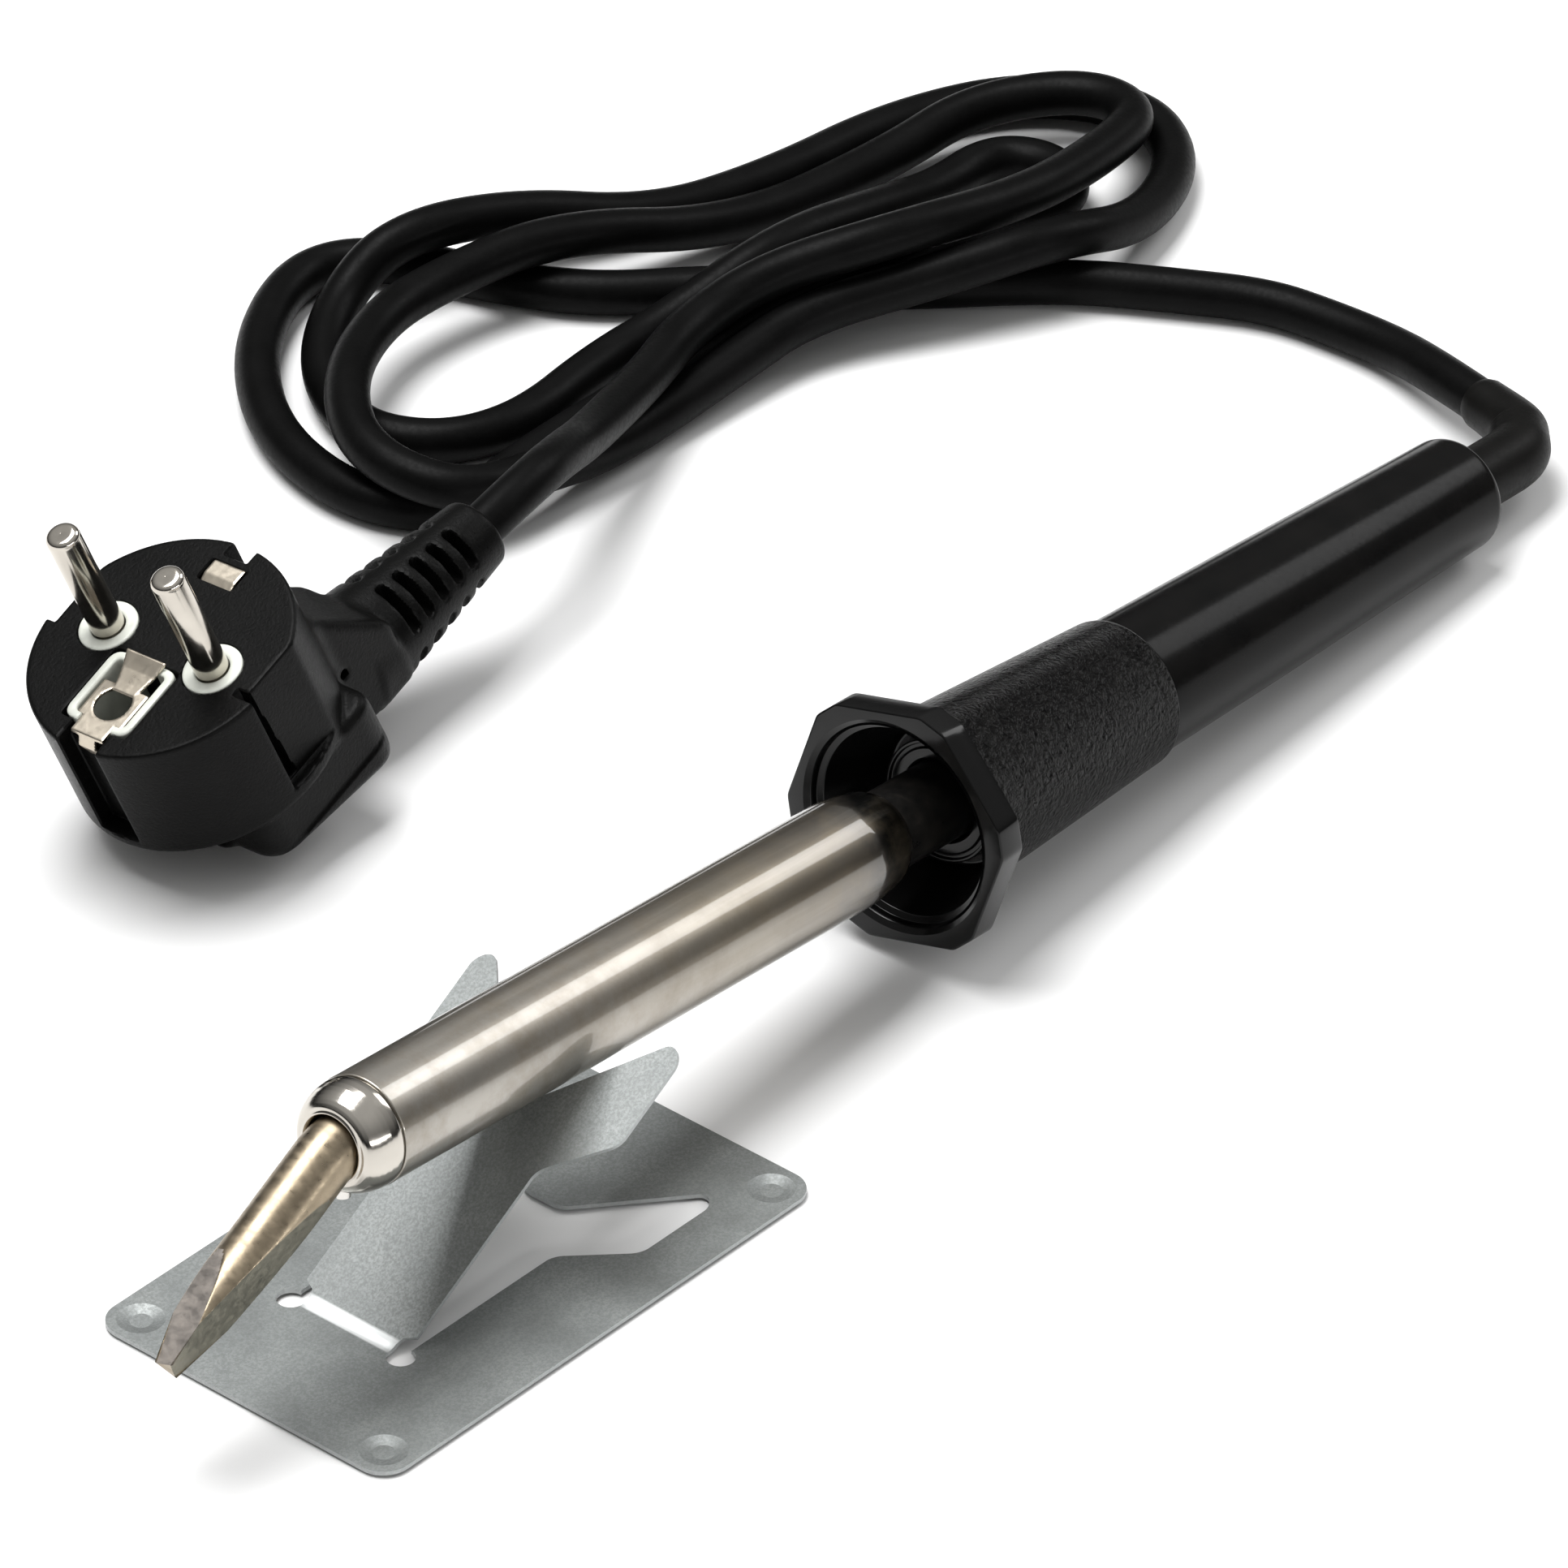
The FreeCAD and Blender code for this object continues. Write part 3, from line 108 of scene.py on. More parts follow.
# ------------------------------------------------------------------ materials
class Finish:
    """A node material with helpers that chain procedural textures in object space."""

    def __init__(self, name, color, rough, metal=0.0, **sockets):
        self.mat = bpy.data.materials.new(name)
        self.mat.use_nodes = True
        self.tree = self.mat.node_tree
        self.bsdf = self.tree.nodes["Principled BSDF"]
        self.set("Base Color", (*color, 1.0))
        self.set("Roughness", rough)
        self.set("Metallic", metal)
        for key, number in sockets.items():
            self.set(key.replace("_", " "), number)
        self.where = self.add("ShaderNodeTexCoord").outputs["Object"]
        self.height = None

    def set(self, socket, number):
        self.bsdf.inputs[socket].default_value = number

    def add(self, kind, **props):
        node = self.tree.nodes.new(kind)
        for key, number in props.items():
            setattr(node, key, number)
        return node

    def link(self, source, target):
        if isinstance(source, (int, float)):
            target.default_value = source
        else:
            self.tree.links.new(source, target)

    def noise(self, scale, detail=4.0, rough=0.55, stretch=None, distortion=0.0):
        node = self.add("ShaderNodeTexNoise")
        node.inputs["Scale"].default_value = scale
        node.inputs["Detail"].default_value = detail
        node.inputs["Roughness"].default_value = rough
        node.inputs["Distortion"].default_value = distortion
        self.link(self.stretched(stretch), node.inputs["Vector"])
        return node.outputs["Fac"]

    def cells(self, scale):
        node = self.add("ShaderNodeTexVoronoi", feature="F1")
        node.inputs["Scale"].default_value = scale
        self.link(self.where, node.inputs["Vector"])
        return node.outputs["Distance"]

    def stretched(self, stretch):
        """Coordinates turned into a group's axes and scaled along each."""
        if stretch is None:
            return self.where
        turn, scale = stretch
        node = self.add("ShaderNodeMapping", vector_type="TEXTURE")
        node.inputs["Rotation"].default_value = turn.to_euler()
        node.inputs["Scale"].default_value = scale
        self.link(self.where, node.inputs["Vector"])
        return node.outputs["Vector"]

    def reach(self, origin, direction):
        """Metres along an axis from its origin, which is in mm."""
        dot = self.add("ShaderNodeVectorMath", operation="DOT_PRODUCT")
        dot.inputs[1].default_value = direction
        self.link(self.where, dot.inputs[0])
        return self.maths("SUBTRACT", dot.outputs["Value"], direction.dot(origin * MM))

    def off_axis(self, origin, direction):
        """Metres away from an axis through an origin in mm."""
        gap = self.add("ShaderNodeVectorMath", operation="SUBTRACT")
        self.link(self.where, gap.inputs[0])
        gap.inputs[1].default_value = origin * MM
        across = self.add("ShaderNodeVectorMath", operation="CROSS_PRODUCT")
        self.link(gap.outputs["Vector"], across.inputs[0])
        across.inputs[1].default_value = direction
        size = self.add("ShaderNodeVectorMath", operation="LENGTH")
        self.link(across.outputs["Vector"], size.inputs[0])
        return size.outputs["Value"]

    def along(self, start, end):
        """0 at start mm and 1 at end mm along the iron's axis."""
        return self.spread(self.reach(IRON_BASE, IRON_AXIS), start * MM, end * MM)

    def band(self, axis, middle, half):
        """1 within half of the middle along X, Y or Z, falling softly to 0 outside."""
        parts = self.add("ShaderNodeSeparateXYZ")
        self.link(self.where, parts.inputs[0])
        away = self.maths("ABSOLUTE", self.maths("SUBTRACT", parts.outputs[axis], middle), 0.0)
        return self.spread(away, half * 1.15, half * 0.85)

    def spread(self, source, low, high, to_low=0.0, to_high=1.0):
        node = self.add("ShaderNodeMapRange")
        node.inputs["From Min"].default_value = low
        node.inputs["From Max"].default_value = high
        node.inputs["To Min"].default_value = to_low
        node.inputs["To Max"].default_value = to_high
        self.link(source, node.inputs["Value"])
        return node.outputs["Result"]

    def ramp(self, source, stops):
        node = self.add("ShaderNodeValToRGB")
        band = node.color_ramp
        while len(band.elements) < len(stops):
            band.elements.new(0.5)
        for element, (place, color) in zip(band.elements, stops):
            element.position = place
            element.color = (*color, 1.0)
        self.link(source, node.inputs["Fac"])
        return node.outputs["Color"]

    def maths(self, operation, a, b):
        node = self.add("ShaderNodeMath", operation=operation)
        self.link(a, node.inputs[0])
        self.link(b, node.inputs[1])
        return node.outputs["Value"]

    def mix(self, amount, a, b):
        node = self.add("ShaderNodeMix", data_type="RGBA")
        self.link(amount, node.inputs["Factor"])
        for source, socket in ((a, node.inputs[6]), (b, node.inputs[7])):
            if isinstance(source, tuple):
                socket.default_value = (*source, 1.0)
            else:
                self.link(source, socket)
        return node.outputs[2]

    def color(self, source):
        self.link(source, self.bsdf.inputs["Base Color"])
        return self

    def rough(self, source, low, high, at=(0.3, 0.7)):
        self.link(self.spread(source, at[0], at[1], low, high), self.bsdf.inputs["Roughness"])
        return self

    def bump(self, source, depth_mm, strength=1.0):
        node = self.add("ShaderNodeBump")
        node.inputs["Strength"].default_value = strength
        node.inputs["Distance"].default_value = depth_mm * MM
        self.link(source, node.inputs["Height"])
        if self.height is not None:
            self.link(self.height, node.inputs["Normal"])
        self.height = node.outputs["Normal"]
        self.link(self.height, self.bsdf.inputs["Normal"])
        return self


def rolled_sheet(name, worn=0.0):
    """Zinc-coated sheet: cloudy, sandy, drawn out along its length, bright where it is cut, with a painted
    highlight in a band along the bend.
    """
    f = Finish(name, (0.30, 0.31, 0.31), 0.48, 0.55)
    cloud = f.noise(110, 5, 0.6)
    sand = f.noise(2600, 3, 0.7)
    streak = f.noise(520, 4, 0.6, (Matrix.Identity(3), (16, 1, 1)))
    base = f.ramp(cloud, [(0.30, (0.230, 0.243, 0.240)), (0.52, (0.262, 0.278, 0.275)),
                          (0.74, (0.300, 0.315, 0.310))])
    base = f.mix(f.spread(streak, 0.50, 0.72, 0.0, 0.22), base, (0.40, 0.42, 0.41))
    base = f.mix(f.spread(sand, 0.38, 0.60, 0.0, 0.60), base, (0.150, 0.158, 0.155))
    # Painted highlight: a band across the bend is coloured near white (0.78, 0.80, 0.80); the cut-edge copy
    # uses the same pale colour for its bright cut edges.
    painted_highlight_band = f.band("X", (STAND_X - 21.2) * MM, 1.1 * MM)
    inside = f.band("Y", 0.0, 7.6 * MM)
    bright = f.maths("MULTIPLY", painted_highlight_band, inside)
    base = f.mix(f.maths("MAXIMUM", f.maths("MULTIPLY", bright, 0.9), worn), base, (0.78, 0.80, 0.80))
    f.color(base)
    f.rough(f.maths("ADD", f.maths("MULTIPLY", cloud, 0.5), f.maths("MULTIPLY", sand, 0.5)), 0.36, 0.56)
    f.bump(sand, 0.016, 0.6).bump(streak, 0.012, 0.5)
    return f.mat


def barrel_steel(name):
    """Drawn steel tube, browned by heat towards the handle."""
    f = Finish(name, (0.46, 0.43, 0.39), 0.36, 1.0, Coat_Weight=1.0, Coat_Roughness=0.07, Coat_IOR=1.7)
    heat = f.along(0, 106)
    wobble = f.noise(70, 4, 0.6)
    heat = f.maths("ADD", heat, f.spread(wobble, 0.3, 0.7, -0.05, 0.05))
    base = f.ramp(heat, [(0.0, (0.40, 0.375, 0.335)), (0.45, (0.37, 0.335, 0.285)),
                         (0.66, (0.29, 0.255, 0.20)), (0.84, (0.19, 0.165, 0.13)),
                         (0.93, (0.10, 0.09, 0.078)), (0.965, (0.02, 0.02, 0.02))])
    line = f.noise(300, 4, 0.65, (IRON_TURN.to_3x3(), (26, 1, 1)))
    patch = f.noise(170, 5, 0.65)
    grain = f.noise(2400, 3, 0.7)
    base = f.mix(f.spread(patch, 0.42, 0.68, 0.0, 0.55), base, (0.22, 0.18, 0.125))
    base = f.mix(f.spread(line, 0.52, 0.78, 0.0, 0.22), base, (0.58, 0.55, 0.50))
    f.color(base)
    f.rough(f.maths("ADD", f.maths("MULTIPLY", line, 0.6), f.maths("MULTIPLY", patch, 0.4)), 0.30, 0.46)
    f.bump(line, 0.010, 0.6).bump(grain, 0.004, 0.4)
    return f.mat


def dark_steel(name):
    """Steel blackened by the heater."""
    f = Finish(name, (0.02, 0.018, 0.017), 0.30, 0.2, Specular_IOR_Level=0.3)
    patch = f.noise(500, 5, 0.6)
    f.color(f.ramp(patch, [(0.3, (0.006, 0.006, 0.006)), (0.6, (0.011, 0.010, 0.009)),
                           (0.8, (0.022, 0.018, 0.015))]))
    f.rough(patch, 0.26, 0.45)
    return f.mat


def nickel(name, color, rough, grain=0.002):
    """Polished plating with faint clouds and fine wear."""
    f = Finish(name, color, rough, 1.0)
    fine = f.noise(700, 4, 0.6)
    cloud = f.noise(220, 3, 0.5)
    f.color(f.mix(f.spread(cloud, 0.3, 0.7), tuple(c * 0.9 for c in color), color))
    f.rough(fine, rough * 0.85, rough * 1.3)
    f.bump(fine, grain, 0.4)
    return f.mat


def plated_tip(name, color=(0.34, 0.28, 0.20), rough=0.30):
    """Plating or ground metal with cross scratches left by the wheel."""
    f = Finish(name, color, rough, 1.0)
    cloud = f.noise(260, 5, 0.6)
    scratch = f.noise(800, 4, 0.65, (IRON_TURN.to_3x3(), (1, 12, 1)))
    pits = f.noise(2600, 3, 0.7)
    tones = [tuple(c * k for c in color) for k in (0.80, 1.0, 1.10)]
    f.color(f.ramp(cloud, [(0.3, tones[0]), (0.55, tones[1]), (0.75, tones[2])]))
    f.rough(scratch, rough * 0.75, rough * 1.6)
    f.bump(scratch, 0.016, 0.6).bump(pits, 0.006, 0.5)
    return f.mat


def leather_grip(name):
    """Heat-proof plastic: glossy in and on the flange, a coarse leather grain behind it with painted shade
    in its crevices, and a painted highlight on the rim at its end.
    """
    f = Finish(name, (0.006, 0.006, 0.006), 0.25, 0.0, Specular_IOR_Level=0.12)
    gone = f.reach(GRIP_BASE, GRIP_AXIS)
    skin_line = f.maths("ADD", f.off_axis(GRIP_BASE, GRIP_AXIS),
                        f.maths("MULTIPLY", f.maths("SUBTRACT", gone, 117.0 * MM), 0.0485))
    outside = f.spread(skin_line, 12.15 * MM, 12.4 * MM)
    behind = f.spread(gone, 116.2 * MM, 117.4 * MM)
    before_rim = f.spread(gone, 158.0 * MM, 157.6 * MM)
    leather = f.maths("MULTIPLY", f.maths("MULTIPLY", outside, behind), before_rim)
    wrinkle = f.noise(900, 3, 0.55, None, 1.6)
    pebble = f.cells(1150)
    fine = f.noise(2400, 3, 0.6)
    relief = f.maths("ADD", f.spread(wrinkle, 0.36, 0.64), f.maths("MULTIPLY", pebble, 0.8))
    # Painted shade: the crevices of the grain are coloured near black and its tops lighter.
    grain_painted_shade = f.mix(f.spread(relief, 0.45, 1.15), (0.0008, 0.0008, 0.0008), (0.0058, 0.0056, 0.0053))
    # Painted highlight: the rim past the grip's end is coloured light grey (0.040) where its edge catches
    # the light.
    rim = f.mix(before_rim, (0.040, 0.040, 0.038), (0.0042, 0.0042, 0.0042))
    f.color(f.mix(leather, rim, grain_painted_shade))
    f.link(f.spread(leather, 0.0, 1.0, 0.16, 0.24), f.bsdf.inputs["Roughness"])
    f.link(f.spread(leather, 0.0, 1.0, 0.26, 0.09), f.bsdf.inputs["Specular IOR Level"])
    f.bump(f.maths("MULTIPLY", relief, leather), 0.42, 1.0).bump(fine, 0.004, 0.3)
    return f.mat


def gloss_black(name):
    """Glossy moulded plastic with a slight orange peel."""
    f = Finish(name, (0.004, 0.004, 0.004), 0.17, 0.0, Specular_IOR_Level=0.08)
    orange_peel = f.noise(160, 2, 0.4)
    speck = f.noise(1500, 4, 0.6)
    f.color(f.mix(f.spread(orange_peel, 0.3, 0.7), (0.0035, 0.0035, 0.0035), (0.0055, 0.0052, 0.005)))
    f.rough(speck, 0.13, 0.24)
    f.bump(orange_peel, 0.02, 0.3)
    return f.mat


def fine_matt(name, color, rough, grain=0.03, scale=2200, shine=0.5):
    """A dull moulded, rubber or ceramic surface with a sandy grain."""
    f = Finish(name, color, rough, 0.0, Specular_IOR_Level=shine)
    sand = f.noise(scale, 5, 0.65)
    cloud = f.noise(180, 3, 0.5)
    dark = tuple(c * 0.75 for c in color)
    light = tuple(min(1.0, c * 1.3) for c in color)
    f.color(f.mix(f.spread(cloud, 0.3, 0.7), dark, light))
    f.rough(sand, rough * 0.8, min(1.0, rough * 1.25))
    f.bump(sand, grain, 0.6)
    return f.mat


MATERIALS = {
    "galvanised": rolled_sheet("galvanised_sheet"),
    "barrel": barrel_steel("barrel_steel"),
    "neck": dark_steel("heat_darkened_steel"),
    "collar": nickel("collar_nickel", (0.62, 0.585, 0.53), 0.13),
    "tip": plated_tip("plated_tip"),
    "screws": nickel("screw_nickel", (0.72, 0.70, 0.66), 0.22),
    "ceramic": fine_matt("white_ceramic", (0.78, 0.76, 0.70), 0.6),
    "winding": nickel("oxidised_winding", (0.36, 0.33, 0.30), 0.42),
    "mica": fine_matt("mica_sheet", (0.55, 0.48, 0.34), 0.4),
    "grip": leather_grip("leather_grain_grip"),
    "handle": gloss_black("gloss_black_handle"),
    "insert": fine_matt("pale_insert", (0.62, 0.64, 0.58), 0.42, 0.01),
    "sleeves": nickel("terminal_brass", (0.72, 0.53, 0.24), 0.25),
    "wire_live": fine_matt("brown_core", (0.12, 0.05, 0.025), 0.4),
    "wire_neutral": fine_matt("blue_core", (0.02, 0.07, 0.26), 0.4),
    "wire_earth": fine_matt("green_core", (0.18, 0.30, 0.03), 0.4),
    "lead": fine_matt("lead_rubber", (0.0026, 0.0026, 0.0026), 0.40, 0.03, 1500, 0.055),
    "sleeve": fine_matt("sleeve_rubber", (0.0045, 0.0043, 0.0040), 0.42, 0.03, 1800, 0.08),
    "plug": fine_matt("plug_moulding", (0.0026, 0.0026, 0.0025), 0.32, 0.12, 2100, 0.075),
    "pins": nickel("pin_nickel", (0.60, 0.56, 0.50), 0.13),
    "contact": nickel("contact_nickel", (0.58, 0.52, 0.43), 0.30),
}
WORN_EDGE = rolled_sheet("cut_edge", 0.3)
# Two copies of one ground metal: the darker one is painted shade and the paler one painted light, chosen by
# which way each facet faces.
GROUND_PAINTED_SHADE = plated_tip("ground_painted_shade", (0.30, 0.285, 0.23), 0.36)
GROUND_PAINTED_LIGHT = plated_tip("ground_painted_light", (0.50, 0.455, 0.415), 0.46)
SLOT_OF = {s["node"]: s["material_slot"] for s in frame["record"]["subparts"]}
for node_name, node in NODES.items():
    node.data.materials.clear()
    node.data.materials.append(MATERIALS[SLOT_OF[node_name]])


# ------------------------------------------------------------------ mesh helpers
def finish_mesh(name, bm, slot, sharp=35):
    """A scene object from a bmesh, smooth but for edges over sharp degrees, with its slot's material."""
    mesh = bpy.data.meshes.new(name)
    bmesh.ops.recalc_face_normals(bm, faces=bm.faces)
    bm.to_mesh(mesh)
    bm.free()
    mesh.shade_smooth()
    mesh.set_sharp_from_angle(angle=math.radians(sharp))
    mesh.materials.append(MATERIALS[slot])
    piece = bpy.data.objects.new(name, mesh)
    bpy.context.scene.collection.objects.link(piece)
    return piece


def loft(name, rings, slot, place=WORLD, closed=False, sharp=35):
    """A skin over rings of equal count; closed joins the last ring to the first."""
    bm = bmesh.new()
    rows = [[bm.verts.new(place @ Vector(p)) for p in ring] for ring in rings]
    count = len(rows[0])
    pairs = list(zip(rows, rows[1:])) + ([(rows[-1], rows[0])] if closed else [])
    for first, second in pairs:
        for i in range(count):
            j = (i + 1) % count
            bm.faces.new((first[i], first[j], second[j], second[i]))
    if not closed:
        bm.faces.new(rows[0])
        bm.faces.new(rows[-1])
    bmesh.ops.remove_doubles(bm, verts=bm.verts, dist=1e-7)
    bmesh.ops.dissolve_degenerate(bm, edges=bm.edges, dist=1e-8)
    return finish_mesh(name, bm, slot, sharp)


def rounded(corners, radius, steps=5):
    """A closed outline of (x, y) with each corner turned into an arc."""
    smooth = []
    count = len(corners)
    for i in range(count):
        spot = Vector(corners[i][:2])
        own = corners[i][2] if len(corners[i]) > 2 else radius
        before = Vector(corners[i - 1][:2]) - spot
        after = Vector(corners[(i + 1) % count][:2]) - spot
        angle = before.angle(after)
        if own <= 0 or angle > math.pi - 0.02:
            smooth.append(spot)
            continue
        trim = min(own / math.tan(angle / 2), 0.48 * before.length, 0.48 * after.length)
        start = spot + before.normalized() * trim
        end = spot + after.normalized() * trim
        for k in range(steps + 1):
            t = k / steps
            smooth.append(start.lerp(spot, t).lerp(spot.lerp(end, t), t))
    return smooth


def lathe(name, corners, slot, place=IRON, radius=0.3, segments=128, steps=5, sharp=35):
    """A closed outline of (along, radius) turned about the group's X axis."""
    outline = rounded(corners, radius, steps)
    rings = []
    for spot in outline:
        rings.append([(spot.x, spot.y * math.cos(2 * math.pi * k / segments),
                       spot.y * math.sin(2 * math.pi * k / segments)) for k in range(segments)])
    return loft(name, rings, slot, place, closed=True, sharp=sharp)


def smoothstep(low, high, x):
    t = max(0.0, min(1.0, (x - low) / (high - low)))
    return t * t * (3 - 2 * t)


def ring_of(along, radius_at, count=288):
    """One ring round the group's X axis; radius_at gives millimetres from the angle."""
    angles = [2 * math.pi * k / count for k in range(count)]
    return [(along, radius_at(t) * math.cos(t), radius_at(t) * math.sin(t)) for t in angles]


def skin(name, field, low, high, step, slot, place, sharp=40):
    """A skin where field(x, y, z), in mm and negative inside, crosses zero."""
    lines = [np.arange(a, b + step, step) for a, b in zip(low, high)]
    value = field(*np.meshgrid(*lines, indexing="ij"))
    inside = value < 0
    cells = [n - 1 for n in value.shape]
    total, count = np.zeros((3, *cells)), np.zeros(cells)
    crossings = []
    for axis in range(3):
        ahead = [slice(1, None) if k == axis else slice(None) for k in range(3)]
        behind = [slice(0, -1) if k == axis else slice(None) for k in range(3)]
        hit = np.argwhere(inside[tuple(behind)] != inside[tuple(ahead)])
        near, far = value[tuple(behind)][tuple(hit.T)], value[tuple(ahead)][tuple(hit.T)]
        spot = hit.astype(float)
        spot[:, axis] += near / (near - far)
        u, v = [k for k in range(3) if k != axis]
        around = []
        for du, dv in ((0, 0), (1, 0), (1, 1), (0, 1)):
            cell = hit.copy()
            cell[:, u] -= du
            cell[:, v] -= dv
            around.append(cell)
            np.add.at(count, tuple(cell.T), 1)
            for k in range(3):
                np.add.at(total[k], tuple(cell.T), spot[:, k])
        crossings.append((around, (near < 0) == (axis != 1)))
    active = count > 0
    number = np.full(cells, -1)
    number[active] = np.arange(active.sum())
    points = np.stack([total[k][active] / count[active] * step + low[k] for k in range(3)])
    reach = step * 0.1
    for _ in range(3):
        here = field(*points)
        slope = np.stack([field(*(points + reach * np.eye(3)[:, [k]])) - here for k in range(3)]) / reach
        move = -here * slope / np.maximum((slope ** 2).sum(axis=0), 0.2)
        points = points + np.clip(move, -0.5 * step, 0.5 * step)
    quads = []
    for around, forward in crossings:
        loop = np.stack([number[tuple(cell.T)] for cell in around], axis=1)
        loop[~forward] = loop[~forward][:, ::-1]
        quads.append(loop)
    mesh = bpy.data.meshes.new(name)
    spots = [place @ Vector(p) for p in points.T.tolist()]
    mesh.from_pydata(spots, [], np.concatenate(quads).tolist())
    bm = bmesh.new()
    bm.from_mesh(mesh)
    bpy.data.meshes.remove(mesh)
    return finish_mesh(name, bm, slot, sharp)


def meet(a, b, blend=0.0):
    """The part inside both fields, with the edge between them rounded over blend mm."""
    gap = np.maximum(blend - np.abs(a - b), 0.0) / max(blend, 1e-6)
    return np.maximum(a, b) + gap * gap * blend * 0.25


def join(a, b, blend=0.0):
    """The part inside either field, with the inner corner filled over blend mm."""
    return -meet(-a, -b, blend)


def cut(a, b, blend=0.0):
    """The first field less the second."""
    return meet(a, -b, blend)


def box(values, low, high, blend=0.0):
    """Inside a box over as many coordinates as it gets."""
    sides = [np.maximum(lo - v, v - hi) for v, lo, hi in zip(values, low, high)]
    field = sides[0]
    for side in sides[1:]:
        field = meet(field, side, blend)
    return field


def hull(u, v, corners, blend=0.0):
    """Inside a convex outline given counter-clockwise."""
    field = None
    for (u0, v0), (u1, v1) in zip(corners, corners[1:] + corners[:1]):
        size = math.hypot(u1 - u0, v1 - v0)
        edge = ((v1 - v0) * (u - u0) - (u1 - u0) * (v - v0)) / size
        field = edge if field is None else meet(field, edge, blend)
    return field


def near_line(u, v, corners):
    """Distance to an open line of points."""
    best = None
    for (u0, v0), (u1, v1) in zip(corners, corners[1:]):
        du, dv = u1 - u0, v1 - v0
        t = np.clip(((u - u0) * du + (v - v0) * dv) / (du * du + dv * dv), 0, 1)
        away = np.hypot(u - u0 - t * du, v - v0 - t * dv)
        best = away if best is None else np.minimum(best, away)
    return best


# ------------------------------------------------------------------ the stand
SHEET, PLATE_BACK, FOOT_X, FOOT_Y, FOOT_RADIUS = 0.6, 0.6, 37.0, 21.0, 2.6
DISH_RIM, DISH_FLOOR = 3.2, 1.5
TONGUE_TILT, CORNER_ROUND = math.radians(30.8), 1.3


def pressed_stand():
    """The folded sheet with rounded corners, bright cut edges and soft dimples for feet."""
    lifted = Vector((-math.sin(TONGUE_TILT), 0, math.cos(TONGUE_TILT)))
    bm = bmesh.new()
    bm.from_mesh(NODES["stand_sheet"].data)
    bmesh.ops.remove_doubles(bm, verts=bm.verts, dist=1e-6)
    bmesh.ops.dissolve_limit(bm, angle_limit=math.radians(0.6), verts=bm.verts, edges=bm.edges)
    corners = []
    for edge in bm.edges:
        line = (edge.verts[0].co - edge.verts[1].co) / MM
        upright = max(abs(line.normalized().z), abs(line.normalized().dot(lifted))) > 0.999
        if upright and abs(line.length - SHEET) < 0.1 and len(edge.link_faces) == 2:
            sides = [other.calc_length() / MM for end in edge.verts for other in end.link_edges
                     if other is not edge]
            if edge.calc_face_angle() > math.radians(25) and min(sides) > 2 * CORNER_ROUND:
                corners.append(edge)
    bmesh.ops.bevel(bm, geom=corners, offset=CORNER_ROUND * MM, segments=5, affect="EDGES",
                    profile=0.5, clamp_overlap=True)
    piece = finish_mesh("stand_sheet_piece", bm, "galvanised", 40)
    piece.data.materials.append(WORN_EDGE)
    middle = Vector((STAND_X - PLATE_BACK, 0, 0))
    for face in piece.data.polygons:
        spot = face.center / MM - middle
        near_foot = math.hypot(abs(spot.x) - FOOT_X, abs(spot.y) - FOOT_Y) < 4
        if max(abs(face.normal.z), abs(face.normal.dot(lifted))) < 0.55 and not near_foot:
            face.material_index = 1
    for vertex in piece.data.vertices:
        spot = vertex.co / MM - middle
        foot = Vector((math.copysign(FOOT_X, spot.x), math.copysign(FOOT_Y, spot.y)))
        out = spot.xy - foot
        if out.length < FOOT_RADIUS + 0.2 and spot.z < 1.1:
            slope_top = spot.z > 0.8 or (0.3 < spot.z < 0.5 and out.length > 2.3)
            moved = foot + out.normalized() * (DISH_RIM if slope_top else DISH_FLOOR)
            vertex.co = (middle + Vector((moved.x, moved.y, spot.z))) * MM
    weighted = piece.modifiers.new("flat_faces", "WEIGHTED_NORMAL")
    weighted.keep_sharp = True
    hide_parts("stand_sheet")
    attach(piece, "stand")


pressed_stand()


# ------------------------------------------------------------------ barrel, collar and tip
barrel = lathe("barrel", [
    (0.0, 7.1), (0.0, 7.7, 0.25), (98.0, 7.7, 12), (103.8, 7.0, 5), (105.6, 6.1, 0.7), (105.6, 5.75, 0.1),
    (103.0, 5.75), (101.5, 7.1)], "barrel", steps=8)
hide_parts("barrel_tube")
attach(barrel, "iron")

dome = [(-0.3 - 5.4 * math.sin(math.radians(t)), 4.95 + 2.7 * math.cos(math.radians(t)), 1)
        for t in range(0, 91, 10)]
collar = lathe("collar", [(7.0, 4.22), (7.0, 7.03, 0.3), (-0.3, 7.03, 0)] + dome
               + [(-5.9, 4.6, 0.3), (-5.3, 4.25, 0.4)], "collar", steps=3, sharp=50)
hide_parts("tip_collar")
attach(collar, "collar")


TIP_BEND, TIP_RADIUS, TIP_STRAIGHT = math.radians(32.4), 4.15, 33.2
# Each facet: degrees round the bit, where it begins, the half thickness it leaves, its material: 1 for the
# ground copy with painted shade, 2 for the ground copy with painted light.
FACETS = ((190.0, 3.5, 0.85, 1), (62.0, 16.8, 0.95, 2), (306.0, 13.0, 1.0, 1))


